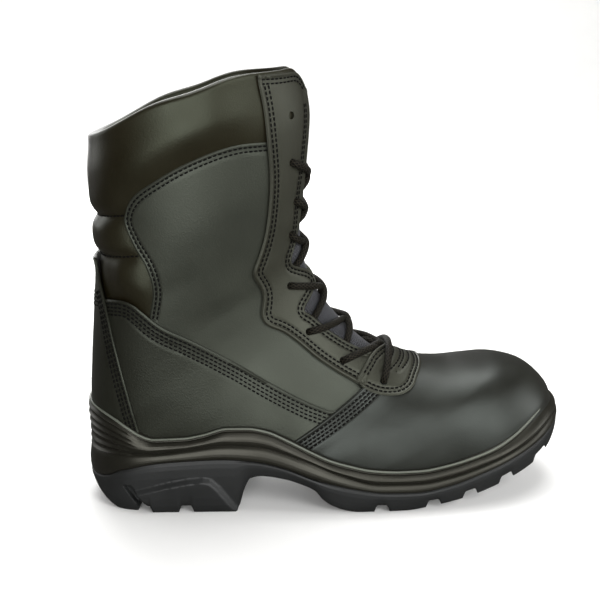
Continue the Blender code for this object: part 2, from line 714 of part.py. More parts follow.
def make_overlay(name, grid, inner, outer, prism, leather):
    """A leather piece cut from the shell between two offsets of the skin."""
    shell = wall_object(
        name, grid.points + grid.normals * outer, grid.points + grid.normals * inner, grid.faces, leather)
    return boolean(shell, prism, "INTERSECT")


def eyelet_places():
    """The lace holes as u, v on the lateral side, found from their side view places."""
    u, v = np.meshgrid(np.linspace(-0.62, -0.02, 241), np.linspace(7.0, RIM_V, 441))
    points = skin(u, v)
    places = []
    for x, z in EYELETS:
        nearest = np.argmin(np.hypot(points[..., 0] - x, points[..., 2] - z))
        places.append((float(u.flat[nearest]), float(v.flat[nearest])))
    return places


def tube(centres, radius, sides):
    """Points and faces of a closed round cord along a line of centres."""
    centres = np.asarray(centres, float)
    along = np.gradient(centres, axis=0)
    along /= np.linalg.norm(along, axis=1)[:, None]
    points = []
    side = np.cross(along[0], [0.2, 0.1, 1.0])
    for centre, direction in zip(centres, along):
        side = side - direction * np.dot(side, direction)
        side /= np.linalg.norm(side)
        other = np.cross(direction, side)
        for k in range(sides):
            angle = 2 * math.pi * k / sides
            points.append(centre + radius * (math.cos(angle) * side + math.sin(angle) * other))
    faces = []
    for i in range(len(centres) - 1):
        for k in range(sides):
            a, b = i * sides + k, i * sides + (k + 1) % sides
            faces.append([a, b, b + sides, a + sides])
    faces.append(list(range(sides))[::-1])
    faces.append(list(range((len(centres) - 1) * sides, len(centres) * sides)))
    return np.array(points), faces


def make_eyelet_cutter(places):
    """All the lace holes as one cutter."""
    points, faces = [], []
    for u, v in places:
        for side in (-1, 1):
            ends = [skin_offset(-side * u, v, h) for h in (-7.0, 9.0)]
            ring, ring_faces = tube(ends, EYELET_RADIUS, EYELET_SIDES)
            faces += [[i + len(points) for i in face] for face in ring_faces]
            points += list(ring)
    return helper(new_object("eyelet_cutter", points, faces, None))


def lace_line(start, end, side):
    """One crossing: over the eyestay from its hole, then over the tongue to the other eyestay's edge."""
    t = np.linspace(0, 1, LACE_POINTS)
    stop_v = max(start[1] + LACE_DIVE_SHARE * (end[1] - start[1]), LACE_LOWEST_V)
    gap = float(throat_edge_u(stop_v))
    width = np.linalg.norm(skin(gap, stop_v) - skin(1e-6, stop_v))
    stop_u = gap * max(0.0, 1 - LACE_END_MARGIN / width)
    u = start[0] + t * (stop_u - start[0])
    v = start[1] + t * (stop_v - start[1])
    on_stay = OVERLAY_OUTER + LACE_CLEAR + LACE_RADIUS
    on_tongue = LACE_RADIUS + LACE_CLEAR - UPPER_WALL - TONGUE_CLEAR
    edge = throat_edge_u(v)
    height = on_stay + (on_tongue - on_stay) * step(0.0, 1.0, (u + edge) / np.maximum(edge, 1e-6))
    return skin_offset(np.where(np.abs(u) < 1e-6, 1e-6, u) * -side, v, height)


def make_lace(places, cord):
    """The straight bar over the lowest holes and a joined crossing for each pair above it."""
    u, v = places[-1]
    over = np.linspace(u, -u, LACE_POINTS + 1)
    bar = skin_offset(np.where(np.abs(over) < 1e-6, 1e-6, over), np.full(len(over), v),
                      np.full(len(over), SECOND_OUTER + LACE_CLEAR + LACE_RADIUS))
    new_object("lace_bar", *tube(bar, LACE_RADIUS, LACE_SIDES), cord)
    for number, (start, end) in enumerate(zip(places[1:-1], places[2:]), start=1):
        first, second = (tube(lace_line(start, end, side), LACE_RADIUS, LACE_SIDES) for side in (-1, 1))
        one = new_object(f"lace_cross_{number}", *first, cord)
        other = helper(new_object("lace_other", *second, None))
        boolean(one, other, "UNION")


def make_overlays(grid, leather, upper, holes):
    """Eyestays, heel counter, backstay and the tab at the foot of the throat."""
    pieces = {}
    sides = (("eyestay_lateral", -120, -EYESTAY_MIN_Y), ("eyestay_medial", EYESTAY_MIN_Y, 120))
    for name, low, high in sides:
        prism = side_prism(name + "_prism", EYESTAY_EDGE, EYESTAY_CLOSE, low, high)
        pieces[name] = make_overlay(name, grid, GAP, OVERLAY_OUTER, prism, leather)
    prism = side_prism("tab_prism", TAB_EDGE, TAB_CLOSE, -120, 120)
    pieces["throat_tab"] = make_overlay("throat_tab", grid, SECOND_INNER, SECOND_OUTER, prism, leather)
    prism = side_prism("counter_prism", COUNTER_EDGE, COUNTER_CLOSE, -120, 120)
    make_overlay("heel_counter", grid, GAP, OVERLAY_OUTER, prism, leather)
    prism = side_prism("backstay_prism", BACKSTAY_EDGE, BACKSTAY_CLOSE, -120, 120)
    make_overlay("backstay", grid, SECOND_INNER, SECOND_OUTER, prism, leather)
    for piece in (upper, *pieces.values()):
        boolean(piece, holes, "DIFFERENCE")


def centred(objects):
    """Moves the boot so that the middle of its sole's box is the origin."""
    loop = sole_loop(0.0, lambda x: 0 * x)
    middle = (loop.min(axis=0) + loop.max(axis=0)) / 2
    root = bpy.data.objects.new("boot", None)
    bpy.context.scene.collection.objects.link(root)
    root.location = (-middle[0] * MM, -middle[1] * MM, 0)
    for obj in objects:
        obj.parent = root


def main():
    for obj in list(bpy.data.objects):
        bpy.data.objects.remove(obj)
    leather = make_material("black_leather", LEATHER_COLOUR, 0.42)
    rubber = make_material("black_polyurethane", RUBBER_COLOUR, 0.5)
    textile = make_material("black_textile", TEXTILE_COLOUR, 0.85)
    cord = make_material("brown_black_cord", LACE_COLOUR, 0.8)
    grid = SkinGrid()
    places = eyelet_places()
    upper = make_upper(grid, leather)
    make_overlays(grid, leather, upper, make_eyelet_cutter(places))
    make_lace(places, cord)
    make_outsole(rubber)
    make_midsole(grid, rubber)
    make_insole(grid, textile)
    make_tongue(textile)
    centred([obj for obj in bpy.data.objects if obj.type == "MESH"])


main()
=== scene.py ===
"""Looks of a safety boot for the right foot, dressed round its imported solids.

Sizes are millimetres in the boot's working frame until a mesh is made: X runs from the back of the heel
to the toe, Y to the inner (medial) side and Z up from the floor. The leather lies on one function,
skin(u, v): v counts the sections from the toe to the collar, u runs from the front line at 0 over the
outer (lateral) side to the back at -1, and on over the inner side, so that -2 is the front line again.
"""

import math

import bpy
import numpy as np
from mathutils import Matrix, Vector


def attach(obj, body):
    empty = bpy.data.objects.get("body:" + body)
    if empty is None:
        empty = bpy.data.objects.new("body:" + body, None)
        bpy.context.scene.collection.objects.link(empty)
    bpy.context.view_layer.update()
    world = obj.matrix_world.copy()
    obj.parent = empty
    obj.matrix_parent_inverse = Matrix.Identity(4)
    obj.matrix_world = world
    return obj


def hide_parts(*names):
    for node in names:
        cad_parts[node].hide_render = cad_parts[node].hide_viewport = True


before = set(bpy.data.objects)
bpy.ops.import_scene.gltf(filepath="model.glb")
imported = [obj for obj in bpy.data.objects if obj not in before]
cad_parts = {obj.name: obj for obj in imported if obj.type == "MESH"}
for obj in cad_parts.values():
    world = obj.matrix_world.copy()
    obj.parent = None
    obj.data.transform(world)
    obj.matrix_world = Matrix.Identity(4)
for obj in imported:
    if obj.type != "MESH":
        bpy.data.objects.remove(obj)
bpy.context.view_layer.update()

MM = 0.001
SHIFT = np.array([-154.0, 1.293, 0.0])

# Bottom of the last, seen from above: distance from the centre line to the outer and inner edge
LAST_HEEL_X = 8.0
LAST_TOE_X = 300.0
SOLE_MARGIN = 8.0
SOLE_LENGTH = LAST_TOE_X - LAST_HEEL_X + 2 * SOLE_MARGIN
LAST_OUTLINE = (
    (8, 0, 0), (12, 15, 15), (27, 28, 27), (54, 32, 30), (82, 34.5, 29.5), (109, 37.5, 29.5),
    (141, 44, 36), (170, 48, 43), (191, 49, 45), (208, 49, 46), (232, 47, 46.5), (257, 42, 46),
    (278, 31.5, 41), (293, 15, 29.5), (300, -9, 9),
)

# Cross sections of the upper, each in a plane through a back (or foot) point and a front (or top) point
SECTION_COLUMNS = (
    "back_x", "back_z", "front_x", "front_z", "front_y",
    "wide_lateral", "wide_medial", "wide_at", "back_round", "front_round", "bow",
)
SECTIONS = (
    (208, 19.0, 299.0, 36.0, 9.0, 49.4, 46.4, 0.20, 2.0, 2.30, 0.0),
    (201, 19.0, 301.5, 47.0, 9.0, 50.0, 46.7, 0.21, 2.0, 2.30, 0.0),
    (193, 19.0, 299.5, 56.0, 9.0, 50.3, 46.8, 0.22, 2.0, 2.30, 0.0),
    (184, 19.2, 292.5, 65.2, 8.5, 50.4, 46.8, 0.24, 2.0, 2.25, 0.0),
    (172, 20.0, 280.0, 73.5, 8.0, 50.3, 46.8, 0.26, 2.0, 2.20, 0.0),
    (157, 21.5, 262.0, 77.0, 7.0, 49.5, 45.5, 0.29, 2.0, 2.20, 0.0),
    (142, 24.0, 238.0, 76.8, 5.0, 48.0, 43.0, 0.32, 2.0, 2.15, 0.0),
    (126, 27.5, 214.0, 79.0, 3.0, 45.0, 39.5, 0.34, 2.0, 2.10, 0.0),
    (109, 31.0, 194.0, 86.8, 2.0, 41.5, 36.5, 0.34, 2.0, 2.05, 0.0),
    (82, 35.5, 176.0, 100.8, 1.0, 38.5, 35.0, 0.34, 2.0, 2.00, 0.0),
    (54, 37.5, 161.0, 116.5, 0.0, 36.0, 34.0, 0.36, 2.0, 2.00, 0.0),
    (27, 38.5, 150.5, 131.0, 0.0, 34.8, 33.5, 0.38, 2.2, 2.00, 0.0),
    (8, 47.0, 144.0, 146.0, 0.0, 34.5, 33.5, 0.42, 2.5, 2.00, 0.0),
    (7.5, 66.0, 141.5, 157.0, 0.0, 35.0, 34.2, 0.43, 2.5, 2.00, 0.0),
    (9.5, 92.0, 141.0, 170.0, 0.0, 37.0, 36.2, 0.45, 2.4, 2.00, 0.0),
    (13, 124.0, 142.5, 191.0, 0.0, 40.5, 39.5, 0.46, 2.3, 2.00, 0.0),
    (16, 158.0, 144.0, 213.0, 0.0, 44.0, 43.0, 0.46, 2.3, 2.05, 1.0),
    (15.5, 193.0, 145.5, 238.0, 0.0, 47.0, 45.5, 0.46, 2.4, 2.10, 5.0),
    (16, 229.0, 141.0, 266.0, 0.0, 49.0, 47.0, 0.46, 2.4, 2.20, 11.5),
)
VAMP_EDGE_V = 8.0
HEEL_V = 12.0
RIM_V = len(SECTIONS) - 1.0
BACK_SHARE = 0.42

# Half width of the throat opening by v, with the scallops between the lace holes
THROAT_V = 8.2
THROAT_GAP = (
    (8.2, 0), (8.27, 8), (8.4, 14), (8.65, 16.5), (9.2, 18), (10, 18.5), (10.6, 18.3), (10.95, 19.5),
    (11.15, 13), (11.4, 4), (12, 9), (12.6, 14.5), (13.2, 18), (13.6, 16.5), (14.2, 14.5), (15, 13.5),
    (18, 12),
)
CORNER_REACH = 0.13
CORNER_DROP = 0.42

# Heights of the leather layers over the skin
OVERLAY_TOP = 1.8
SECOND_TOP = 3.6
LEATHER_THICK = 1.5
QUARTER_THICK = 2.2
STAY_THICK = 3.9
TAB_TOP = SECOND_TOP - 0.4
BACKSTAY_TOP = SECOND_TOP - 0.2
ROLL_HEIGHT = 0.25
ROLL_DROP = 0.35
ROLL_WIDTH = 0.8
SEAM_DEPTH = 0.42
SEAM_HALF_WIDTH = 0.8
STITCH_SUNK = 0.05
WALL_IN = 2.6

# Distances of the seams from the edges that they follow
VAMP_SEAMS = (3.0, 5.2, 7.4, 9.6)
QUARTER_SEAMS = (2.2, 4.6)
STAY_REAR_SEAMS = (3.4, 5.8)
STAY_FRONT_SEAMS = (2.2, 4.4)
STAY_HEAD_SEAMS = (2.6, 5.0)
TAB_SEAMS = (2.4, 4.8)
COUNTER_SEAMS = (2.6, 4.8, 7.0, 9.2)
BACKSTAY_SEAMS = (2.0, 4.2, 6.4)

# Side view lines on the upper, as x, z
QUARTER_SEAM = (
    (46, 124), (49, 142), (46, 156), (39, 170), (35, 184), (40, 196),
    (55, 207), (77, 218), (100, 225), (122, 226),
)
EYESTAY_REAR = (
    (113.5, 263.5), (114, 258), (116, 247), (118, 225), (119, 205), (118, 189), (115, 170), (109.5, 154),
    (107, 148), (110, 142), (113.5, 135), (113, 128), (111.5, 121), (115, 114.5), (123, 111), (133, 103.5),
    (145, 92.5), (158, 83), (171, 75),
)
TAB_BACK = ((169, 78), (174, 83.5), (179, 88.5))
TAB_FRONT = ((171.5, 74), (175, 71.5), (182, 68.5), (190, 67), (198, 67.3), (205, 70), (209.5, 74.5))
COUNTER_EDGE = (
    (152, 62), (139, 67.5), (120, 78), (95, 94), (70, 109.5),
    (52, 120), (42, 129), (37, 133), (31, 135), (20, 134),
)
BACKSTAY_EDGE = (
    (17.2, 157.6), (18, 148), (20, 138), (22, 129), (25, 110), (29, 87), (33, 66), (36, 52),
)

# Heights along the sole, as x, z
BOTTOM_LINE = (
    (0, 15), (4, 8.5), (10, 3), (17, 0), (91, 0), (93.5, 3), (97, 14), (101, 21), (108, 22.5),
    (122, 21), (134, 17.5), (141, 14), (146, 8), (152, 4), (160, 1.2), (168, 0), (197, 0),
    (212, 1.6), (228, 4), (240, 6.3), (252, 9.5), (266, 13.7), (280, 17.8), (292, 22), (301, 26.5), (308, 31),
)
OUTSOLE_LINE = (
    (0, 18), (11, 21), (21, 26.5), (41, 31.5), (61, 33.2), (84, 34), (105, 32.5), (122, 29), (144, 21),
    (165, 16), (185, 13), (204, 12.5), (225, 15.5), (246, 21.5), (264, 27), (285, 34), (299, 38.5), (308, 41),
)
GROOVE_LINE = (
    (0, 36), (28, 38), (42, 38.5), (62, 40.5), (85, 43), (106, 42), (133, 34.5), (157, 25),
    (180, 19), (205, 18.3), (225, 20.8), (250, 27), (275, 35), (292, 42), (308, 47.5),
)
LIP_LINE = (
    (0, 66), (8, 64), (18, 60), (26, 55), (34, 50), (42, 47.5), (60, 48), (72, 50), (88, 54),
    (100, 54), (112, 52), (124, 47), (140, 39), (151, 34), (163, 30.5), (176, 27.5), (194, 26),
    (206, 26), (225, 28.3), (244, 32.5), (259, 36.5), (271, 41), (281, 45.5), (290, 49.5), (298, 52.5),
    (308, 54),
)
SEAT_LINE = (
    (0, 20), (40, 24), (85, 26.5), (105, 26.5), (125, 24), (145, 16), (165, 10), (190, 8.5), (212, 9),
    (230, 11), (260, 18), (285, 26), (300, 31.5), (308, 35),
)
SEAT_INSET = 5.5
TREAD_GROOVES_X = (41, 67, 190, 222, 245, 268, 291)
TREAD_HALF_WIDTH = 4.0
TREAD_DEPTH = 4.5
TREAD_SPINE_HALF = 9.0
TREAD_SWEEP = math.tan(math.radians(10))

# Lace holes from the collar to the toe, in the side view, and the cord
EYELETS = ((132, 240), (132, 213), (134, 189), (131, 169), (130, 137), (141, 108), (161.5, 89), (186, 74))
EYELET_RADIUS = 2.3
LACE_RADIUS = 2.2

# Camera and picture
CAMERA_AT = (-0.0579, -0.5972, 0.282)
CAMERA_AIM = (-0.016, 0.0013, 0.1225)
CAMERA_ROLL_DEG = -1.2
CAMERA_FOV_DEG = 34.02


# Curves and the skin


def smooth(knots, values, at, limited=True):
    """Cubic curve through values at the knots. Limited slopes keep it from overshooting."""
    knots = np.asarray(knots, float)
    values = np.asarray(values, float)
    at = np.clip(np.asarray(at, float), knots[0], knots[-1])
    flat = values.ndim == 1
    values = values[:, None] if flat else values
    width = np.diff(knots)[:, None]
    slope = np.diff(values, axis=0) / width
    tangent = np.concatenate([slope[:1], slope, slope[-1:]])
    before, after = tangent[:-1], tangent[1:]
    if limited:
        total = before + after
        tangent = np.where(before * after > 0, 2 * before * after / np.where(total == 0, 1, total), 0)
        tangent[0], tangent[-1] = slope[0], slope[-1]
    else:
        tangent = (before + after) / 2
    i = np.clip(np.searchsorted(knots, at, side="right") - 1, 0, len(knots) - 2)
    w = width[i]
    t = ((at - knots[i])[..., None]) / w
    a, b = values[i], values[i + 1]
    ma, mb = tangent[i] * w, tangent[i + 1] * w
    out = (
        (2 * t**3 - 3 * t**2 + 1) * a + (t**3 - 2 * t**2 + t) * ma
        + (3 * t**2 - 2 * t**3) * b + (t**3 - t**2) * mb
    )
    return out[..., 0] if flat else out


def line_height(line, x):
    """Height of a sole line at x."""
    table = np.array(line, float)
    return smooth(table[:, 0], table[:, 1], x)


def step(low, high, x):
    """0 below low, 1 above high, and a soft rise between them."""
    t = np.clip((x - low) / (high - low), 0, 1)
    return t * t * (3 - 2 * t)


def hump(x, middle, half):
    """A soft ridge of height 1 at the middle, about as wide as half on each side."""
    return np.exp(-(((x - middle) / half) ** 2))


def outline_angle(x):
    """Angle that opens the round ends of the last's outline, 0 at the heel and pi at the toe."""
    share = (np.asarray(x, float) - LAST_HEEL_X) / (LAST_TOE_X - LAST_HEEL_X)
    return np.arccos(np.clip(1 - 2 * share, -1, 1))


def last_half_width(x, side):
    """Half width of the last's bottom at x. Side is -1 for lateral and +1 for medial."""
    table = np.array(LAST_OUTLINE, float)
    return smooth(outline_angle(table[:, 0]), table[:, 1 if side < 0 else 2], outline_angle(x), limited=False)


def section_values(v):
    """The section table's columns at v, as a dict of arrays."""
    table = np.array(SECTIONS, float)
    found = smooth(np.arange(len(table)), table, v)
    overshoot = np.asarray(v, float) - RIM_V
    found = found + np.where(overshoot > 0, overshoot, 0)[..., None] * (table[-1] - table[-2])
    return dict(zip(SECTION_COLUMNS, np.moveaxis(found, -1, 0)))


def folded(u):
    """The same place with u between -1 and 1."""
    return np.where(u < -1, u + 2, np.where(u > 1, u - 2, u))


def skin(u, v):
    """Points of the upper's outer surface, without its padding and layers."""
    u, v = np.broadcast_arrays(np.asarray(u, float), np.asarray(v, float))
    u = folded(u)
    row = section_values(v)
    lateral = u < 0
    along = 1 - np.abs(u)
    widest = np.where(lateral, row["wide_lateral"], row["wide_medial"])
    foot_x = np.clip(row["back_x"], LAST_HEEL_X, None)
    foot = np.where(lateral, last_half_width(foot_x, -1), last_half_width(foot_x, +1))
    foot = np.where(v >= HEEL_V, 0, foot)
    back_angle = np.clip(along / BACK_SHARE, 0, 1) * math.pi / 2
    front_angle = np.clip((along - BACK_SHARE) / (1 - BACK_SHARE), 0, 1) * math.pi / 2
    front_power = 2 / row["front_round"]
    in_back = along <= BACK_SHARE
    power = row["back_round"]
    start = (1 - np.clip(foot / widest, 0, 1) ** power) ** (1 / power)
    closing = step(10.5, HEEL_V, v)
    back_way = closing * (1 - np.cos(back_angle)) + (1 - closing) * back_angle / (math.pi / 2)
    back_half = widest * (1 - (start * np.clip(1 - back_way, 0, 1)) ** power) ** (1 / power)
    share = np.where(
        in_back,
        row["wide_at"] * back_way,
        row["wide_at"] + (1 - row["wide_at"]) * np.sin(front_angle) ** front_power,
    )
    half = np.where(in_back, back_half, widest * np.clip(np.cos(front_angle), 0, 1) ** front_power)
    x = row["back_x"] + share * (row["front_x"] - row["back_x"])
    z = row["back_z"] + share * (row["front_z"] - row["back_z"])
    z = z + row["bow"] * np.sin(math.pi * share) ** 2
    y = row["front_y"] * np.clip(share, 0, None) ** 1.5 + np.where(lateral, -half, half)
    return np.stack([x, y, z], axis=-1)


def skin_at(places):
    """Points of the skin at a line of u, v places."""
    return skin(places[:, 0], places[:, 1])


def unit(vectors):
    """Vectors scaled to length 1."""
    return vectors / np.maximum(np.linalg.norm(vectors, axis=-1, keepdims=True), 1e-9)


def run_length(points):
    """Distance along a line of points, at each of them."""
    return np.concatenate([[0], np.cumsum(np.linalg.norm(np.diff(points, axis=0), axis=1))])


def skin_slopes(u, v):
    """How the skin moves with u and with v. An open section ends at the foot, so u stays on its side."""
    d = 1e-3
    ends = v < HEEL_V
    u = np.where(ends, folded(u), u)
    ahead, behind = u + d, u - d
    ahead = np.where(ends, np.clip(ahead, -1, 1), ahead)
    behind = np.where(ends, np.clip(behind, -1, 1), behind)
    across = (skin(ahead, v) - skin(behind, v)) / (ahead - behind)[..., None]
    upward = (skin(u, v + d) - skin(u, v - d)) / (2 * d)
    return across, upward


def skin_normal(u, v):
    """Outward direction of the skin."""
    u, v = np.broadcast_arrays(np.asarray(u, float), np.asarray(v, float))
    return unit(np.cross(*skin_slopes(u, v)))


def on_skin(u, v, height):
    """Points at a height over the skin."""
    u, v = np.broadcast_arrays(np.asarray(u, float), np.asarray(v, float))
    return skin(u, v) + skin_normal(u, v) * np.broadcast_to(height, u.shape)[..., None]


def throat_edge_u(v):
    """How far from the front line, in u, the quarters stop to leave the throat open."""
    table = np.array(THROAT_GAP, float)
    gap = np.where(np.asarray(v) <= THROAT_V, 0, smooth(table[:, 0], table[:, 1], v))
    row = section_values(v)
    cosine = np.clip(gap / row["wide_lateral"], 0, 1) ** (row["front_round"] / 2)
    return (1 - BACK_SHARE) * (1 - np.arccos(cosine) / (math.pi / 2))


def corner_drop(u, v):
    """How far the rim comes down, in v, at the round front corners of the collar."""
    along = 1 - np.abs(folded(u))
    reach = np.clip((along - 1 + throat_edge_u(v)) / CORNER_REACH + 1, 0, 1)
    return CORNER_DROP * reach**3 * step(RIM_V - 1.5, RIM_V, v)


def line_distance(x, z, line):
    """Signed distance in the side view to a line, positive on its left."""
    table = np.array(line, float)
    best = np.full(np.shape(x), 1e9)
    sign = np.zeros(np.shape(x))
    for (ax, az), (bx, bz) in zip(table[:-1], table[1:]):
        dx, dz = bx - ax, bz - az
        t = np.clip(((x - ax) * dx + (z - az) * dz) / (dx * dx + dz * dz), 0, 1)
        away = np.hypot(x - ax - t * dx, z - az - t * dz)
        turn = dx * (z - az) - dz * (x - ax)
        nearer = away < best
        best = np.where(nearer, away, best)
        sign = np.where(nearer, np.sign(turn), sign)
    return best * sign


def smooth_line(points, count=8):
    """A rounded line through a few points."""
    table = np.array(points, float)
    knots = run_length(table)
    at = np.concatenate([np.linspace(a, b, count, endpoint=False) for a, b in zip(knots[:-1], knots[1:])])
    return smooth(knots, table, np.append(at, knots[-1]), limited=False)


def rounded_path(points, spacing, passes):
    """A path through points, taken at even distances and averaged until its corners are round."""
    length = run_length(points)
    at = np.linspace(0, length[-1], round(length[-1] / spacing))
    path = np.stack([np.interp(at, length, column) for column in points.T], -1)
    for _ in range(passes):
        path[1:-1] = (path[:-2] + 2 * path[1:-1] + path[2:]) / 4
    return path


def side_places(line):
    """u and v on the lateral side of points given in the side view."""
    line = np.asarray(line, float)
    u, v = np.meshgrid(np.linspace(-1, -0.02, 197), np.linspace(0, RIM_V + 0.2, 365))
    table = skin(u, v)
    found = []
    for x, z in line:
        nearest = np.argmin(np.hypot(table[..., 0] - x, table[..., 2] - z))
        found.append((u.flat[nearest], v.flat[nearest]))
    found = np.array(found)
    for _ in range(6):
        across, upward = skin_slopes(found[:, 0], found[:, 1])
        miss_x, miss_z = (line - skin_at(found)[:, [0, 2]]).T
        a, b, c, d = across[:, 0], upward[:, 0], across[:, 2], upward[:, 2]
        area = a * d - b * c
        area = np.where(np.abs(area) < 20, np.where(area < 0, -20, 20), area)
        move = np.stack([(miss_x * d - miss_z * b) / area, (a * miss_z - c * miss_x) / area], -1)
        found = found + np.clip(move, -0.05, 0.05)
        found[:, 0] = np.clip(found[:, 0], -1, -0.005)
    return found


def rail(places, count):
    """A line of u, v places resampled at even distances on the skin."""
    places = np.asarray(places, float)
    length = run_length(skin_at(places))
    at = np.linspace(0, length[-1], count)
    return np.stack([np.interp(at, length, places[:, 0]), np.interp(at, length, places[:, 1])], -1)


def mirrored(places):
    """The same places on the medial side."""
    return np.asarray(places) * [-1, 1]


def past_back(places):
    """The same places on the medial side, with u counted on from the back at -1."""
    return mirrored(places) - [2, 0]


BOTH_SIDES = (("lateral", np.asarray), ("medial", mirrored))


def inset_line(places, distance, toward):
    """A line moved over the skin to one side by a distance, towards other places, without its loops."""
    places = np.array(places, float)
    toward = np.broadcast_to(np.asarray(toward, float), places.shape)
    source = skin_at(places)
    one_side = places[:, 0].min() >= -1
    steps = max(1, math.ceil(distance / 2))
    for _ in range(steps):
        points = skin_at(places)
        across, upward = skin_slopes(places[:, 0], places[:, 1])
        sideways = unit(np.cross(unit(np.cross(across, upward)), unit(np.gradient(points, axis=0))))
        turn = np.sign(np.sum(sideways * (skin_at(toward) - points), axis=1).sum())
        move = sideways * turn * distance / steps
        pairs = ((across, across), (across, upward), (upward, upward), (move, across), (move, upward))
        aa, ab, bb, ma, mb = (np.sum(p * q, axis=1) for p, q in pairs)
        area = aa * bb - ab * ab
        places += np.stack([(ma * bb - mb * ab) / area, (mb * aa - ma * ab) / area], -1)
        if one_side:
            places[:, 0] = np.clip(places[:, 0], -1, 1)
    clear = distance_to(skin_at(places), source) > 0.93 * distance
    return places[clear]


# Meshes


SMOOTH_DEG = 50


def deselect():
    """Leaves edit mode and selects nothing."""
    if bpy.context.object and bpy.context.object.mode != "OBJECT":
        bpy.ops.object.mode_set(mode="OBJECT")
    bpy.ops.object.select_all(action="DESELECT")


def select_only(obj):
    """Selects one object and makes it the active one."""
    deselect()
    bpy.context.view_layer.objects.active = obj
    obj.select_set(True)


def edit(obj, *operations):
    """Runs edit mode operators on the whole mesh."""
    select_only(obj)
    bpy.ops.object.mode_set(mode="EDIT")
    bpy.ops.mesh.select_all(action="SELECT")
    for operation in operations:
        operation()
    bpy.ops.object.mode_set(mode="OBJECT")


def merge_doubles():
    """Joins vertices that share a place."""
    bpy.ops.mesh.remove_doubles(threshold=1e-6)


def face_outwards():
    """Turns the faces of a closed mesh outwards."""
    bpy.ops.mesh.normals_make_consistent(inside=False)


def modify(obj, kind, **settings):
    """Adds a modifier and applies it."""
    select_only(obj)
    modifier = obj.modifiers.new(kind.lower(), kind)
    for name, value in settings.items():
        setattr(modifier, name, value)
    bpy.ops.object.modifier_apply(modifier=modifier.name)


def finish_mesh(obj, material, angle=SMOOTH_DEG):
    """Gives a piece its finish and smooth faces, and lets it ride on the boot."""
    obj.data.materials.clear()
    obj.data.materials.append(material)
    select_only(obj)
    bpy.ops.object.shade_smooth_by_angle(angle=math.radians(angle))
    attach(obj, "root")
    return obj


def grid_mesh(name, points):
    """A grid primitive whose vertices take the places of a rows by columns table of points."""
    rows, columns = points.shape[0] - 1, points.shape[1] - 1
    deselect()
    bpy.ops.mesh.primitive_grid_add(x_subdivisions=columns, y_subdivisions=rows, size=2)
    obj = bpy.context.object
    obj.name = name
    obj.data.name = name
    flat = np.empty(len(obj.data.vertices) * 3, np.float32)
    obj.data.vertices.foreach_get("co", flat)
    across = np.rint((flat[0::3] + 1) / 2 * columns).astype(int)
    down = np.rint((flat[1::3] + 1) / 2 * rows).astype(int)
    obj.data.vertices.foreach_set("co", ((points[down, across] + SHIFT) * MM).astype(np.float32).ravel())
    obj.data.update()
    return obj


def faces_along(obj, point, direction):
    """True if the face nearest to a point looks along a direction."""
    local = Vector((point + SHIFT) * MM)
    nearest = min(obj.data.polygons, key=lambda face: (face.center - local).length_squared)
    return nearest.normal.dot(Vector(direction)) > 0


def sheet_piece(name, points, outward_at, outward, thickness, material, bevel=0.45):
    """A leather or textile panel from a table of its outer points, with thickness and soft edges."""
    obj = grid_mesh(name, points)
    edit(obj, merge_doubles)
    if not faces_along(obj, outward_at, outward):
        edit(obj, bpy.ops.mesh.flip_normals)
    if thickness:
        modify(obj, "SOLIDIFY", thickness=thickness * MM, offset=-1, use_even_offset=False)
    if bevel:
        modify(obj, "BEVEL", width=bevel * MM, segments=2, limit_method="ANGLE", angle_limit=math.radians(55))
    return finish_mesh(obj, material)


def even_ends(count):
    """Shares from 0 to 1, closer together at both ends."""
    return (1 - np.cos(np.linspace(0, math.pi, count))) / 2


def between(first, second, shares):
    """A table of places from one rail to another."""
    return first[:, None, :] * (1 - shares)[None, :, None] + second[:, None, :] * shares[None, :, None]


def distance_to(points, line):
    """Distance from each point of a table to a line of points."""
    best = np.full(points.shape[:-1], 1e9)
    for a, b in zip(line[:-1], line[1:]):
        way = b - a
        t = np.clip(((points - a) @ way) / max(way @ way, 1e-12), 0, 1)
        best = np.minimum(best, np.linalg.norm(points - a - t[..., None] * way, axis=-1))
    return best


def sewn_panel(name, places, top, material, seams=(), edges=(), thickness=LEATHER_THICK, extra=None):
    """A panel on the skin. Its edges are rolled over, and each seam pulls the leather down a little."""
    u, v = places[..., 0], places[..., 1]
    ground = skin(u, v)
    height = np.full(u.shape, float(top))
    for edge in edges:
        away = distance_to(ground, skin_at(edge))
        height += ROLL_HEIGHT * hump(away, 1.1, ROLL_WIDTH) - ROLL_DROP * (1 - step(0, ROLL_WIDTH, away))
    for seam in seams:
        height -= SEAM_DEPTH * hump(distance_to(ground, skin_at(seam)), 0, SEAM_HALF_WIDTH)
    if extra is not None:
        height += extra(ground, u, v)
    middle = (places.shape[0] // 2, places.shape[1] // 2)
    points = on_skin(u, v, height)
    return sheet_piece(name, points, points[middle], skin_normal(u[middle], v[middle]), thickness, material)


STITCH_PITCH = 3.0
STITCH_LENGTH = 2.3
STITCH_HALF_WIDTH = 0.54
STITCH_HALF_HEIGHT = 0.36


def stitch_shape():
    """One stitch, a small lying capsule, as points and faces."""
    deselect()
    bpy.ops.mesh.primitive_uv_sphere_add(segments=6, ring_count=5, radius=1)
    obj = bpy.context.object
    points = np.array([vertex.co for vertex in obj.data.vertices])
    faces = [list(face.vertices) for face in obj.data.polygons]
    bpy.data.objects.remove(obj)
    points = points[:, [2, 0, 1]]
    points[:, 0] = np.sign(points[:, 0]) * np.abs(points[:, 0]) ** 0.6
    return points * [STITCH_LENGTH / 2, STITCH_HALF_WIDTH, STITCH_HALF_HEIGHT], faces


STITCH_POINTS, STITCH_FACES = stitch_shape()


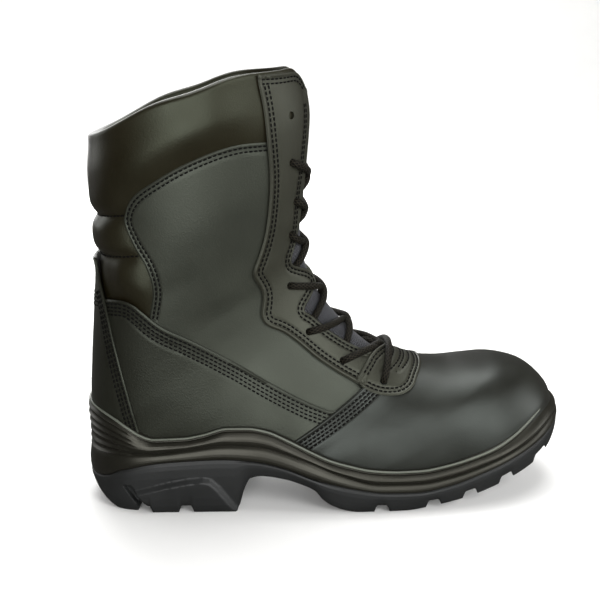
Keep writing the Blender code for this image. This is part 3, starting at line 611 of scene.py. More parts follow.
def seam_stitches(places, height):
    """Frames of the stitches along a line of places: middle, direction, sideways and up."""
    length = run_length(skin_at(places))
    at = np.arange(STITCH_PITCH / 2, length[-1], STITCH_PITCH)
    u, v = np.interp(at, length, places[:, 0]), np.interp(at, length, places[:, 1])
    middles = on_skin(u, v, height)
    up = skin_normal(u, v)
    along = unit(np.gradient(middles, axis=0))
    side = unit(np.cross(up, along))
    return list(zip(middles, along, side, np.cross(along, side)))


def stitches_piece(name, frames, thread):
    """All the stitches of one panel as one mesh."""
    points, faces = [], []
    for middle, along, side, up in frames:
        first = len(points) * len(STITCH_POINTS)
        points.append(middle + STITCH_POINTS @ np.array([along, side, up]))
        faces += [[i + first for i in face] for face in STITCH_FACES]
    mesh = bpy.data.meshes.new(name)
    mesh.from_pydata(((np.concatenate(points) + SHIFT) * MM).tolist(), [], faces)
    obj = bpy.data.objects.new(name, mesh)
    bpy.context.scene.collection.objects.link(obj)
    finish_mesh(obj, thread, angle=80)
    return obj


# Finishes


def srgb(hexadecimal):
    """Linear colour of an sRGB hex value."""
    channels = [int(hexadecimal[i:i + 2], 16) / 255 for i in (1, 3, 5)]
    return [c / 12.92 if c <= 0.04045 else ((c + 0.055) / 1.055) ** 2.4 for c in channels] + [1.0]


def add(tree, kind, inputs=None, **settings):
    """Adds a node with its settings, and sets or links its inputs."""
    node = tree.nodes.new("ShaderNode" + kind)
    for name, value in settings.items():
        setattr(node, name, value)
    for name, value in (inputs or {}).items():
        if isinstance(value, bpy.types.NodeSocket):
            tree.links.new(value, node.inputs[name])
        else:
            node.inputs[name].default_value = value
    return node


def per_mm(size):
    """Texture scale for features of a size in millimetres."""
    return 1 / (size * MM)


def blank_material(name, roughness, ior=1.5, **sockets):
    """A material's tree, its shader and its object coordinates."""
    material = bpy.data.materials.new(name)
    material.use_nodes = True
    tree = material.node_tree
    shader = tree.nodes["Principled BSDF"]
    shader.inputs["Roughness"].default_value = roughness
    shader.inputs["IOR"].default_value = ior
    for socket, value in sockets.items():
        shader.inputs[socket.replace("_", " ")].default_value = value
    place = add(tree, "TexCoord").outputs["Object"]
    return material, tree, shader, place


def leather_material(name, dark, light, roughness, shine, grain_mm=1.0, grain_depth=0.07):
    """Corrected full-grain cowhide, dyed through and wax finished: a low pebble, a soft tinted shine."""
    material, tree, shader, place = blank_material(name, roughness, Specular_Tint=srgb(shine))
    clouds = add(tree, "TexNoise", {"Vector": place, "Scale": per_mm(38), "Detail": 3.0, "Roughness": 0.55})
    fine = add(tree, "TexNoise", {"Vector": place, "Scale": per_mm(0.55), "Detail": 2.0})
    cells = add(tree, "TexVoronoi", {"Vector": place, "Scale": per_mm(grain_mm)}, feature="SMOOTH_F1")
    colour = add(tree, "Mix", {"Factor": clouds.outputs["Fac"]}, data_type="RGBA")
    colour.inputs[6].default_value = srgb(dark)
    colour.inputs[7].default_value = srgb(light)
    tree.links.new(colour.outputs[2], shader.inputs["Base Color"])
    worn = add(tree, "MapRange", {"Value": clouds.outputs["Fac"], "From Min": 0.3, "From Max": 0.7,
                                  "To Min": roughness - 0.05, "To Max": roughness + 0.07})
    tree.links.new(worn.outputs["Result"], shader.inputs["Roughness"])
    mixed = add(tree, "Math", {0: cells.outputs["Distance"], 1: fine.outputs["Fac"]}, operation="ADD")
    bump = add(tree, "Bump", {"Height": mixed.outputs[0], "Distance": grain_depth * MM, "Strength": 0.7})
    tree.links.new(bump.outputs["Normal"], shader.inputs["Normal"])
    return material


def moulded_material(name, dark, light, roughness, shine, grit_mm=0.7, depth=0.04):
    """Injected polyurethane, taken from a fine-blasted mould: satin, with a faint even grit."""
    material, tree, shader, place = blank_material(name, roughness, Specular_Tint=srgb(shine))
    clouds = add(tree, "TexNoise", {"Vector": place, "Scale": per_mm(30), "Detail": 4.0})
    grit = add(tree, "TexNoise", {"Vector": place, "Scale": per_mm(grit_mm), "Detail": 3.0})
    colour = add(tree, "Mix", {"Factor": clouds.outputs["Fac"]}, data_type="RGBA")
    colour.inputs[6].default_value = srgb(dark)
    colour.inputs[7].default_value = srgb(light)
    tree.links.new(colour.outputs[2], shader.inputs["Base Color"])
    worn = add(tree, "MapRange", {"Value": clouds.outputs["Fac"], "From Min": 0.3, "From Max": 0.7,
                                  "To Min": roughness - 0.06, "To Max": roughness + 0.08})
    tree.links.new(worn.outputs["Result"], shader.inputs["Roughness"])
    bump = add(tree, "Bump", {"Height": grit.outputs["Fac"], "Distance": depth * MM, "Strength": 0.6})
    tree.links.new(bump.outputs["Normal"], shader.inputs["Normal"])
    return material


def woven_material(name, dark, light, across, along, thread_mm):
    """Woven polyester: threads that pass over and under each other, dull with a little sheen.

    The threads are drawn coarser than the real ones so that they show."""
    material, tree, shader, _ = blank_material(name, 0.85, Specular_IOR_Level=0.25, Sheen_Weight=0.05)
    uv = add(tree, "UVMap").outputs["UV"]
    mapped = add(tree, "Mapping", {"Vector": uv, "Scale": (across / thread_mm, along / thread_mm, 1.0)})
    one = add(tree, "TexWave", {"Vector": mapped.outputs["Vector"], "Scale": 0.5}, bands_direction="X")
    other = add(tree, "TexWave", {"Vector": mapped.outputs["Vector"], "Scale": 0.5}, bands_direction="Y")
    checks = add(tree, "TexChecker", {"Vector": mapped.outputs["Vector"], "Scale": 1.0})
    weave = add(tree, "Mix", {"Factor": checks.outputs["Fac"]}, data_type="FLOAT")
    tree.links.new(one.outputs["Fac"], weave.inputs[2])
    tree.links.new(other.outputs["Fac"], weave.inputs[3])
    colour = add(tree, "Mix", {"Factor": weave.outputs[0]}, data_type="RGBA")
    colour.inputs[6].default_value = srgb(dark)
    colour.inputs[7].default_value = srgb(light)
    tree.links.new(colour.outputs[2], shader.inputs["Base Color"])
    bump = add(tree, "Bump", {"Height": weave.outputs[0], "Distance": 0.2 * MM, "Strength": 0.8})
    tree.links.new(bump.outputs["Normal"], shader.inputs["Normal"])
    return material


def thread_material():
    """Bonded nylon sewing thread, black: twisted, dull, darker than the leather round it."""
    material, tree, shader, place = blank_material("bonded_nylon_thread", 0.8, Specular_IOR_Level=0.1)
    fibre = add(tree, "TexNoise", {"Vector": place, "Scale": per_mm(0.4), "Detail": 2.0})
    colour = add(tree, "Mix", {"Factor": fibre.outputs["Fac"]}, data_type="RGBA")
    colour.inputs[6].default_value = srgb("#040404")
    colour.inputs[7].default_value = srgb("#0b0b0a")
    tree.links.new(colour.outputs[2], shader.inputs["Base Color"])
    bump = add(tree, "Bump", {"Height": fibre.outputs["Fac"], "Distance": 0.1 * MM})
    tree.links.new(bump.outputs["Normal"], shader.inputs["Normal"])
    return material


def braid_material(length, round_mm):
    """Braided polyester lace, dark brown-black: two sets of strands that cross on a slant."""
    material, tree, shader, _ = blank_material("braided_polyester_lace", 0.65, Specular_IOR_Level=0.12)
    uv = add(tree, "UVMap").outputs["UV"]
    turns = round(round_mm / BRAID_STRAND)
    mapped = add(tree, "Mapping", {"Vector": uv, "Scale": (turns, length / BRAID_STRAND / 1.4, 1.0)})
    parts = add(tree, "SeparateXYZ", {"Vector": mapped.outputs["Vector"]})
    slants = []
    for operation in ("ADD", "SUBTRACT"):
        line = add(tree, "Math", {0: parts.outputs["X"], 1: parts.outputs["Y"]}, operation=operation)
        turn = add(tree, "Math", {0: line.outputs[0], 1: 2 * math.pi}, operation="MULTIPLY")
        slants.append(add(tree, "Math", {0: turn.outputs[0]}, operation="SINE").outputs[0])
    braid = add(tree, "Math", {0: slants[0], 1: slants[1]}, operation="MAXIMUM")
    share = add(tree, "MapRange", {"Value": braid.outputs[0], "From Min": 0.0, "From Max": 1.0})
    colour = add(tree, "Mix", {"Factor": share.outputs["Result"]}, data_type="RGBA")
    colour.inputs[6].default_value = srgb("#030302")
    colour.inputs[7].default_value = srgb("#25221a")
    tree.links.new(colour.outputs[2], shader.inputs["Base Color"])
    bump = add(tree, "Bump", {"Height": share.outputs["Result"], "Distance": 0.6 * MM})
    tree.links.new(bump.outputs["Normal"], shader.inputs["Normal"])
    return material


LEATHER = leather_material("cowhide_smooth_black", "#0f0e0a", "#181812", 0.43, "#e4eedc")
QUARTER_LEATHER = leather_material("cowhide_quarter_black", "#1a1b17", "#262721", 0.43, "#e4eedc")
STAY_LEATHER = leather_material("cowhide_eyestay_black", "#191914", "#23221b", 0.45, "#e8eeda")
TOE_LEATHER = leather_material(
    "cowhide_polished_black", "#131310", "#1d1d19", 0.38, "#ced8d2", grain_depth=0.04,
)
COLLAR_LEATHER = leather_material(
    "cowhide_soft_collar_black", "#120e06", "#1c180d", 0.4, "#c0cab4", grain_mm=0.9,
)
MIDSOLE_PU = moulded_material("polyurethane_midsole_satin", "#0f0f0c", "#181712", 0.36, "#dcdacc")
# The bead's pale grey is a painted highlight: it stands for the shine along the midsole lip's rounded edge,
# also where the upper shades the lip.
BEAD_PAINTED_HIGHLIGHT_PU = moulded_material("polyurethane_bead_painted_highlight", "#3d4039", "#5c6058", 0.35, "#f1f3e6")
OUTSOLE_PU = moulded_material(
    "polyurethane_outsole_matt", "#0e0f0f", "#161717", 0.55, "#f1f3f3", grit_mm=0.9, depth=0.06,
)
THREAD = thread_material()
TONGUE_CLOTH = woven_material("woven_polyester_tongue", "#060606", "#46474b", 60.0, 190.0, 2.0)
LINING_CLOTH = woven_material("knitted_spacer_lining", "#0c0c0c", "#26272a", 260.0, 160.0, 2.2)
FOOTBED_CLOTH = woven_material("needled_felt_footbed", "#101012", "#232427", 80.0, 285.0, 1.6)


# Upper


def vamp_piece():
    """The toe and vamp, one hide pulled over the steel cap, lapped over the quarter and the counter."""
    rows = np.concatenate([np.linspace(0, 6.6, 84), 6.6 + 1.4 * np.linspace(0, 1, 40)[1:] ** 0.8])
    places = np.stack(np.meshgrid(np.linspace(-1, 1, 171), rows), -1)
    edge = np.stack([np.linspace(-1, 1, 241), np.full(241, VAMP_EDGE_V)], -1)
    ahead = np.stack([edge[:, 0], edge[:, 1] - 3], -1)
    seams = [inset_line(edge, d, ahead) for d in VAMP_SEAMS]

    def relief(points, u, v):
        x, y, z = points[..., 0], points[..., 1], points[..., 2]
        lap = 0.9 * step(VAMP_EDGE_V - 1.3, VAMP_EDGE_V - 0.3, v)
        cap_x = 264 - 9 * (y / 45) ** 2
        cap = 0.3 * step(-12, 2, x - cap_x)
        bend = -0.3 * hump(x + 0.18 * z, 246, 9) * step(60, 78, z)
        fold = -0.3 * hump(x + 0.3 * z, 232, 9) * step(30, 50, z) * (1 - step(60, 76, z))
        return lap + cap + bend + fold

    vamp = sewn_panel("vamp", places, OVERLAY_TOP, TOE_LEATHER, seams, [edge], extra=relief)
    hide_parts("upper")
    frames = []
    for seam in seams:
        frames += [f for f in seam_stitches(seam, OVERLAY_TOP + 0.75) if abs(f[0][1]) > 8]
    stitches_piece("vamp_stitches", frames, THREAD)


MM_PER_PLACE = np.array([150.0, 15.0])


def throat_line(first, last, count):
    """The lateral edge of the throat between two v, with its corners rounded."""
    v = np.linspace(first, last, count)
    line = np.stack([-np.maximum(throat_edge_u(v), 0.06), v], -1)
    return rounded_path(line * MM_PER_PLACE, 1.0, 8) / MM_PER_PLACE


QUARTER_MIDDLE = (-0.5, 15.3)
QUARTER_TURN = 4
QUARTER_ROWS = 200
QUARTER_HIDDEN = (
    (-0.685, 13.9), (-0.655, 13.3), (-0.60, 12.35), (-0.555, 11.6), (-0.53, 10.8), (-0.518, 9.8),
    (-0.51, 8.8), (-0.50, 7.85), (-0.26, 7.85),
)
QUARTER_FRONT = (-0.26, 16.8)


def quarter_pieces():
    """The two quarters, lapped over the padded collar and running under the other pieces."""
    seam = side_places(smooth_line(QUARTER_SEAM[QUARTER_TURN::-1]))
    low = rail(np.concatenate([seam, QUARTER_HIDDEN]), QUARTER_ROWS)
    top = rail(np.concatenate([side_places(smooth_line(QUARTER_SEAM[QUARTER_TURN:])), [QUARTER_FRONT]]), 961)
    top = top[np.rint(960 * np.linspace(0, 1, QUARTER_ROWS) ** 0.6).astype(int)]
    places = between(top, low, even_ends(72))
    edge = rail(side_places(smooth_line(QUARTER_SEAM)), 260)
    sewn = [inset_line(edge, d, QUARTER_MIDDLE) for d in QUARTER_SEAMS]
    for name, turn in BOTH_SIDES:
        quarter = sewn_panel(f"quarter_{name}", turn(places), 0.0, QUARTER_LEATHER, [turn(s) for s in sewn],
                             [turn(edge)], thickness=QUARTER_THICK, extra=ankle_creases)
        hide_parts("upper")
        frames = []
        for line in sewn:
            frames += seam_stitches(turn(line), -STITCH_SUNK)
        stitches_piece(f"quarter_stitches_{name}", frames, THREAD)


def ankle_creases(points, u, v):
    """Soft troughs where the shaft gives above the instep and behind the ankle."""
    x, z = points[..., 0], points[..., 2]
    front = -0.5 * hump(z - 0.28 * (x - 95), 128, 7) * hump(x, 95, 20)
    back = -0.4 * hump(z - 0.35 * (x - 60), 142, 8) * hump(x, 62, 16)
    swell = 0.5 * hump(z, 175, 22) * hump(x, 80, 26)
    return front + back + swell


PAD_SEAMS_Z = (159.5, 184.0)
COLLAR_OUT = 3.6
COLLAR_IN = 2.5
COLLAR_SUNK = -1.1
COLLAR_ROUND = 4.2
COLLAR_DIP = 0.14


def collar_swell(points, v):
    """0 at the quarter's seam and 1 on the full pads, pinched at the two back seams."""
    x, z = points[..., 0], points[..., 2]
    away = line_distance(x, z, smooth_line(QUARTER_SEAM))
    share = np.sqrt(step(-1, 17, away)) * (1 - 0.35 * step(RIM_V - 0.6, RIM_V, v))
    behind = 1 - step(36, 47, x)
    for seam_z in PAD_SEAMS_Z:
        share = share * (1 - behind * (1 - np.sqrt(1 - 0.995 * hump(z - 0.12 * x, seam_z - 2, 5.5))))
    share = share * (1 - 0.7 * step(84, 118, x))
    low = 1 - step(PAD_SEAMS_Z[0] - 1, PAD_SEAMS_Z[0] + 3, z)
    over_counter = -line_distance(x, z, smooth_line(COUNTER_EDGE))
    return share * (1 - low * (0.68 - 0.4 * step(23, 33, x))) * np.sqrt(step(-1, 14, over_counter))


def collar_piece():
    """The padded collar, from under the quarter up over the rim and down to the lining."""
    shares = np.linspace(0, 1, 161)
    tables = []
    for v, turn in collar_rows():
        edge = float(throat_edge_u(min(v, RIM_V))) + 0.012
        u = -edge - shares * (2 - 2 * edge)
        at = v - corner_drop(u, np.full(u.shape, v))
        at -= COLLAR_DIP * hump(skin(u, at)[:, 0], 78, 22) * step(RIM_V - 1.2, RIM_V, v)
        ground = skin(u, at)
        swell = collar_swell(ground, at)
        out = COLLAR_SUNK + (COLLAR_OUT - COLLAR_SUNK) * swell
        inside = -WALL_IN - COLLAR_IN * step(0.1, 0.6, swell)
        height = out + (inside - out) * (1 - math.cos(math.pi * turn)) / 2
        rise = COLLAR_ROUND * 0.55 * math.sin(math.pi * turn)
        points = on_skin(u, at, height)
        points[:, 2] += rise
        tables.append(points)
    points = np.array(tables)
    middle = (20, 80)
    collar = sheet_piece("collar_pad", points, points[middle], (-1, 0, 0.2), 1.0, COLLAR_LEATHER, bevel=0)
    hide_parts("upper")
    frames = []
    for seam_z in PAD_SEAMS_Z:
        line = np.array([(x, seam_z + 0.12 * (x - 17)) for x in np.linspace(16.5, 42, 24)])
        places = side_places(line)
        for _, turn in BOTH_SIDES:
            frames += seam_stitches(turn(places), COLLAR_SUNK + 0.55)
    stitches_piece("collar_stitches", frames, THREAD)


def collar_rows():
    """v of each row of the collar, and how far it has turned over the rim."""
    outer = [(v, 0.0) for v in np.linspace(14.2, RIM_V - 0.02, 80)]
    over = [(RIM_V, turn) for turn in np.linspace(0.08, 0.92, 11)]
    inner = [(v, 1.0) for v in np.linspace(RIM_V - 0.02, RIM_V - 1.6, 14)]
    return outer + over + inner


def lining_piece():
    """The knitted lining of the shaft and heel."""
    shares = np.linspace(0, 1, 81)
    tables = []
    for v in np.concatenate([np.linspace(8.7, 12, 30), np.linspace(12.1, RIM_V - 0.25, 50)]):
        edge = float(throat_edge_u(v)) + 0.03
        u = -edge - shares * (2 - 2 * edge)
        if v < HEEL_V:
            u = np.where(u > -1, np.maximum(u, -0.995), np.minimum(u, -1.005))
        at = v - corner_drop(u, np.full(u.shape, v))
        ground = skin(u, at)
        pad = step(0.1, 0.6, collar_swell(ground, at)) * step(14.2, 15.5, v)
        tables.append(on_skin(u, at, -WALL_IN - 0.15 - (COLLAR_IN - 0.6) * pad))
    points = np.array(tables)
    middle = (65, 40)
    lining = sheet_piece("lining", points, points[middle], (1, 0, 0), 0.8, LINING_CLOTH, bevel=0)
    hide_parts("upper")


PUNCH_SIDES = 20
PUNCH_LENGTH = 16.0
LEAST_KEPT = 0.5


def hole_cutter(places, turn):
    """Round punches for the lace holes of one side, as one mesh."""
    punches = []
    for u, v in turn(places):
        middle = on_skin(u, v, 0.0)
        direction = skin_normal(u, v)
        deselect()
        bpy.ops.mesh.primitive_cylinder_add(
            vertices=PUNCH_SIDES, radius=EYELET_RADIUS * MM, depth=PUNCH_LENGTH * MM,
        )
        punch = bpy.context.object
        turned = Vector(direction).to_track_quat("Z", "Y").to_matrix().to_4x4()
        punch.data.transform(Matrix.Translation(Vector((middle + SHIFT) * MM)) @ turned)
        punches.append(punch)
    deselect()
    for punch in punches:
        punch.select_set(True)
    bpy.context.view_layer.objects.active = punches[0]
    bpy.ops.object.join()
    return punches[0]


def punch_holes(obj, places, turn, touching=False):
    """Cuts the lace holes through a panel, which may touch itself, and stops if the cut lost the panel."""
    cutter = hole_cutter(places, turn)
    whole = len(obj.data.polygons)
    modify(obj, "BOOLEAN", operation="DIFFERENCE", object=cutter, solver="EXACT", use_self=touching)
    bpy.data.objects.remove(cutter)
    kept = len(obj.data.polygons)
    if kept < LEAST_KEPT * whole:
        raise RuntimeError(f"{obj.name}: {kept} of {whole} faces left after the punching")
    select_only(obj)
    bpy.ops.object.shade_smooth_by_angle(angle=math.radians(SMOOTH_DEG))


STAY_ROWS = 300
STAY_COLUMNS = 46
STAY_FOOT = (-0.06, 7.9)
STAY_SEAM_SHIFT = 0.026


def by_height(places, count):
    """A falling line of places, resampled at even steps of v so that rulings between lines never cross."""
    v = np.linspace(places[0, 1], places[-1, 1], count)
    return np.stack([np.interp(-v, -np.minimum.accumulate(places[:, 1]), places[:, 0]), v], -1)


def eyestay_pieces(holes):
    """The stays with the lace holes: rolled rear edge, scalloped throat edge, double seams."""
    rear = by_height(side_places(rounded_path(smooth_line(EYESTAY_REAR), 1.2, 14)), STAY_ROWS)
    throat = throat_line(RIM_V - 0.02, THROAT_V + 0.04, 400)
    foot_u, foot_v = STAY_FOOT
    foot = np.stack([np.full(12, foot_u), np.linspace(THROAT_V, foot_v, 12)], -1)
    front = by_height(np.concatenate([throat, foot]), STAY_ROWS)
    places = between(rear, front, even_ends(STAY_COLUMNS))
    places[..., 1] -= corner_drop(places[..., 0], places[..., 1])
    rear, front, head = places[:, 0], places[:, -1], places[0]
    middle = places[:, 20]
    seams = [inset_line(rear, d, middle) for d in STAY_REAR_SEAMS]
    shift = STAY_SEAM_SHIFT * step(13.8, 15.2, front[:, 1])
    turned_in = front - np.stack([shift, np.zeros(len(front))], -1)
    seams += [inset_line(turned_in, d, middle) for d in STAY_FRONT_SEAMS]
    seams += [inset_line(head, d, places[40]) for d in STAY_HEAD_SEAMS]
    stitch_top = OVERLAY_TOP - STITCH_SUNK
    for name, turn in BOTH_SIDES:
        edges = [turn(rear), turn(front), turn(head)]

        def relief(points, u, v):
            return 0.45 * hump(distance_to(points, skin_at(edges[0])), 1.5, 1.2)

        stay = sewn_panel(f"eyestay_{name}_panel", turn(places), OVERLAY_TOP, STAY_LEATHER,
                          [turn(s) for s in seams], edges, thickness=STAY_THICK, extra=relief)
        punch_holes(stay, holes[:-1], turn, touching=True)
        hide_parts(f"eyestay_{name}")
        frames = []
        for seam in seams[:2]:
            frames += seam_stitches(turn(seam)[6:], stitch_top)
        for seam in seams[2:4]:
            frames += seam_stitches(turn(seam)[8:-24], stitch_top)
        for seam in seams[4:]:
            frames += seam_stitches(turn(seam)[6:-6], stitch_top)
        stitches_piece(f"eyestay_stitches_{name}", frames, THREAD)


def across_front(side_line, centre_v, count):
    """A rail from the lateral side over the front line to the medial side."""
    places = side_places(smooth_line(side_line))
    half = smooth_line(np.concatenate([places, [(-0.0001, centre_v)]]), 4)
    return rail(np.concatenate([half, mirrored(half)[::-1]]), count)


def tab_piece(holes):
    """The tab at the foot of the throat, with the lowest lace holes and sewn bands on its top."""
    back = across_front(TAB_BACK, THROAT_V - 0.03, 201)
    front = across_front(TAB_FRONT, 6.98, 201)
    places = between(back, front, even_ends(48))
    seams = [inset_line(front, d, back) for d in TAB_SEAMS]
    seams += [inset_line(back, d, front) for d in TAB_SEAMS]
    edges = [back, front, places[0], places[-1]]
    bands = tab_bands()
    tab = sewn_panel("throat_tab_panel", places, TAB_TOP, STAY_LEATHER, seams + bands, edges)
    for _, turn in BOTH_SIDES:
        punch_holes(tab, holes[-1:], turn)
    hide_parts("throat_tab")
    frames = []
    for seam in seams[:2] + bands:
        frames += seam_stitches(seam[3:-3], SECOND_TOP - 0.5)
    for seam in seams[2:]:
        frames += seam_stitches(seam[14:-14], SECOND_TOP - 0.5)
    stitches_piece("throat_tab_stitches", frames, THREAD)


LEAVES = ((7.76, 0.27, 0.12), (7.44, 0.23, 0.09))
LEAF_SEWN = 0.88


def tab_bands():
    """Plain leaf outlines sewn across the tab's top, open at their tips."""
    bands = []
    for v, half, wide in LEAVES:
        t = np.linspace(-LEAF_SEWN, LEAF_SEWN, 41)
        for edge in (-wide, wide):
            bands.append(np.stack([half * t, v + 0.1 * t * t + edge * (1 - t**4)], -1))
    return bands


COUNTER_START_V = 7.8
COUNTER_ROWS = 301


def counter_piece():
    """The heel counter: one hide round the back, from vamp edge to vamp edge."""
    half = side_places(smooth_line(COUNTER_EDGE))
    half = np.concatenate([[(half[0, 0] + 0.02, COUNTER_START_V)], half, [(-1.0, 15.29)]])
    top = rail(np.concatenate([half, past_back(half)[::-1]]), COUNTER_ROWS)
    v = np.linspace(COUNTER_START_V, 11.6, 60)
    foot = np.concatenate([np.stack([np.full(60, -0.985), v], -1), [(-1.0, 12.5)]])
    low = rail(np.concatenate([foot, past_back(foot)[::-1]]), COUNTER_ROWS)
    places = between(top, low, np.concatenate([np.linspace(0, 0.3, 34)[:-1], np.linspace(0.3, 1, 18)]))
    seams = [inset_line(top, d, low) for d in COUNTER_SEAMS]
    counter = sewn_panel("heel_counter_panel", places, OVERLAY_TOP, LEATHER, seams, [top])
    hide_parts("heel_counter")
    frames = []
    for seam in seams:
        frames += seam_stitches(seam[2:-2], OVERLAY_TOP - STITCH_SUNK)
    stitches_piece("heel_counter_stitches", frames, THREAD)


BAR_STITCHES_Z = (127, 129.6, 132.2, 134.8)


def backstay_piece():
    """The strip over the back seam, sewn down on both sides, with a bar of stitches and a free tip."""
    half = rail(side_places(smooth_line(BACKSTAY_EDGE)), 150)
    other = past_back(half)
    places = between(half, other, even_ends(44))
    seams = [inset_line(half, d, other) for d in BACKSTAY_SEAMS]
    back_v = np.linspace(12, 17, 80)
    back_z = skin(np.full(80, -1.0), back_v)[:, 2]

    def tip(points, u, v):
        return 1.1 * step(146, 158, points[..., 2])

    strip = sewn_panel("backstay_strip", places, BACKSTAY_TOP, LEATHER,
                       seams + [past_back(s) for s in seams], [half, other, places[0]], extra=tip)
    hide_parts("backstay")
    frames = []
    for seam in seams:
        for turned in (seam, past_back(seam)):
            frames += seam_stitches(turned[26:], SECOND_TOP - 0.25)
    for v in np.interp(BAR_STITCHES_Z, back_z, back_v):
        row = np.argmin(np.abs(half[:, 1] - v))
        width = np.linspace(half[row, 0] - 0.04, -2 - half[row, 0] + 0.04, 30)
        frames += seam_stitches(np.stack([width, np.full(30, v)], -1), SECOND_TOP - 0.15)
    stitches_piece("backstay_stitches", frames, THREAD)


TONGUE_V = (8.0, 17.6)
TONGUE_REACH = 0.30


def tongue_piece():
    """The padded cloth tongue: crowned between the stays, with a bound top."""
    rows = np.linspace(*TONGUE_V, 120)
    columns = np.linspace(-TONGUE_REACH, TONGUE_REACH, 49)
    u, v = np.meshgrid(columns, rows)
    share = (v - TONGUE_V[0]) / (TONGUE_V[1] - TONGUE_V[0])
    v = v - 0.16 * (u / TONGUE_REACH) ** 4 * share
    edge = np.maximum(throat_edge_u(np.clip(v, THROAT_V + 0.05, RIM_V)), 0.14)
    crown = 1 - np.clip(np.abs(u) / edge, 0, 1.6) ** 2
    puff = 0.3 * np.sin(np.clip(v - 9, 0, 20) * 2.2) * np.clip(crown, 0, 1)
    rise = 1.5 + 0.8 * step(9.5, 10.8, v) + 0.3 * step(12.5, 14.5, v)
    height = -WALL_IN - 1.9 + rise * np.clip(crown, -0.4, 1) + puff
    binding = 0.7 * hump(v, TONGUE_V[1] - 0.06, 0.05)
    points = on_skin(u, v, height + binding)
    middle = (60, 24)
    tongue = sheet_piece("tongue_pad", points, points[middle], (1, 0, 0.6), 4.6, TONGUE_CLOTH, bevel=1.2)
    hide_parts("tongue")


FLOOR_LINE = (
    (8, 47), (27, 38.5), (54, 37.5), (82, 35.5), (109, 31), (126, 27.5), (142, 24), (157, 21.5),
    (172, 20), (184, 19.2), (208, 19), (299, 36),
)
FOOTBED_HEEL_X = 11.5
FOOTBED_TOE_X = 295.0
FOOTBED_GAP = 3.2
FOOTBED_TIP_Y = 9.0


def footbed_piece():
    """The loose felt footbed, dished at the heel."""
    share = even_ends(80)
    x = FOOTBED_HEEL_X + (FOOTBED_TOE_X - FOOTBED_HEEL_X) * share
    across = np.linspace(0, 1, 29)
    lateral = -np.maximum(last_half_width(x, -1) - FOOTBED_GAP, -8)
    medial = np.maximum(last_half_width(x, 1) - FOOTBED_GAP, 8)
    lateral[-1] = medial[-1] = FOOTBED_TIP_Y
    y = lateral[:, None] * (1 - across) + medial[:, None] * across
    dish = 2.2 * np.abs(2 * across - 1)[None, :] ** 3 * (1 - step(20, 150, x))[:, None]
    z = line_height(FLOOR_LINE, x)[:, None] + 4.1 + dish
    points = np.stack([np.broadcast_to(x[:, None], y.shape), y, z], -1)
    bed = sheet_piece("footbed", points, points[40, 14], (0, 0, 1), 3.4, FOOTBED_CLOTH, bevel=0.6)
    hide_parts("insole")


# Lace


BAR_V = 8.15
LOWEST_CROSSING_V = 8.6
LACE_SPACING = 1.2
LACE_SIDES = 12
BRAID_STRAND = 2.0

# How far each strand has come down to the next hole, as shares: on the leather, at its edge, at the crest
CROSSING_FALL = (
    (0.27, 0.46, 0.66), (0.24, 0.42, 0.62), (0.1, 0.22, 0.46),
    (0.42, 0.56, 0.7), (0.16, 0.3, 0.5), (0.16, 0.3, 0.5),
)


def lace_path(holes):
    """Points of the whole cord: down one strand from the top laced hole, over the bar and up the other."""
    on_stay = OVERLAY_TOP + LACE_RADIUS + 0.25
    strands = []
    for first_side in (-1, 1):
        points = []
        side = first_side
        for number, ((u0, v0), (u1, v1)) in enumerate(zip(holes[1:-1], holes[2:])):
            narrow = float(step(12, 13.5, v1))
            on_tongue = LACE_RADIUS - WALL_IN - 0.5 + 0.5 * narrow
            lifted = 0.0 if side == -1 else 2.7 - 1.3 * narrow
            last = number == len(holes) - 3
            edge0 = float(throat_edge_u(v0 + 0.25 * (v1 - v0)))
            on_leather, at_edge, at_crest = (v0 + fall * (v1 - v0) for fall in CROSSING_FALL[number])
            stop_v = max(at_crest + 0.6 * (v1 - at_crest), LOWEST_CROSSING_V)
            edge1 = float(throat_edge_u(stop_v))

            def at(u, v, height, turn=side):
                return on_skin(u * -turn, v, height)

            points += [
                at(u0, v0, -4.5),
                at(u0, v0, -0.5),
                at(u0 * 0.97, v0 + 0.03 * (v1 - v0), on_stay + 0.5),
                at(-edge0 + 0.35 * (u0 + edge0), on_leather, on_stay),
                at(-edge0 * 0.8, at_edge, on_stay * 0.55),
                at(0.0, at_crest, on_tongue + lifted),
                at(edge1 * 0.45, at_crest + 0.6 * (stop_v - at_crest), on_tongue + 0.5 * lifted),
                at(edge1 * 0.85, stop_v, on_tongue - 0.6),
            ]
            if not last:
                points += [at(edge1 + 0.03, stop_v + 0.1 * (v1 - v0), -WALL_IN - 2.2)]
                side = -side
            else:
                points += [at(edge1 + 0.02, v1 + 0.25 * (v0 - v1), -3.4), at(-u1, v1, -2.5)]
        strands.append(points)
    u, v = holes[-1]
    top = SECOND_TOP + LACE_RADIUS - 0.2
    bar = [on_skin(u * k, v + (BAR_V - v) * (1 - k * k), top + 0.3) for k in np.linspace(0.96, -0.96, 9)]
    ends_lateral = strands[0][-1][1] < 0
    first, second = (strands[0], strands[1]) if ends_lateral else (strands[1], strands[0])
    return np.array(first + bar + second[::-1])


def lace_piece(holes):
    """The braided round cord, run through the holes."""
    centres = rounded_path(lace_path(holes), LACE_SPACING, 8)
    length = run_length(centres)[-1]
    along = unit(np.gradient(centres, axis=0))
    side = np.cross(along[0], [0.2, 0.1, 1.0])
    angle = np.linspace(0, 2 * math.pi, LACE_SIDES + 1)[:, None]
    rings = []
    for centre, direction in zip(centres, along):
        side = unit(side - direction * np.dot(side, direction))
        other = np.cross(direction, side)
        rings.append(centre + LACE_RADIUS * (np.cos(angle) * side + np.sin(angle) * other))
    lace = grid_mesh("lace_cord", np.array(rings))
    edit(lace, merge_doubles, face_outwards)
    finish_mesh(lace, braid_material(length, 2 * math.pi * LACE_RADIUS))
    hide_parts("lace_bar", *[f"lace_cross_{i}" for i in range(1, 7)])
    print(f"lace length {length:.0f} mm")


# Sole


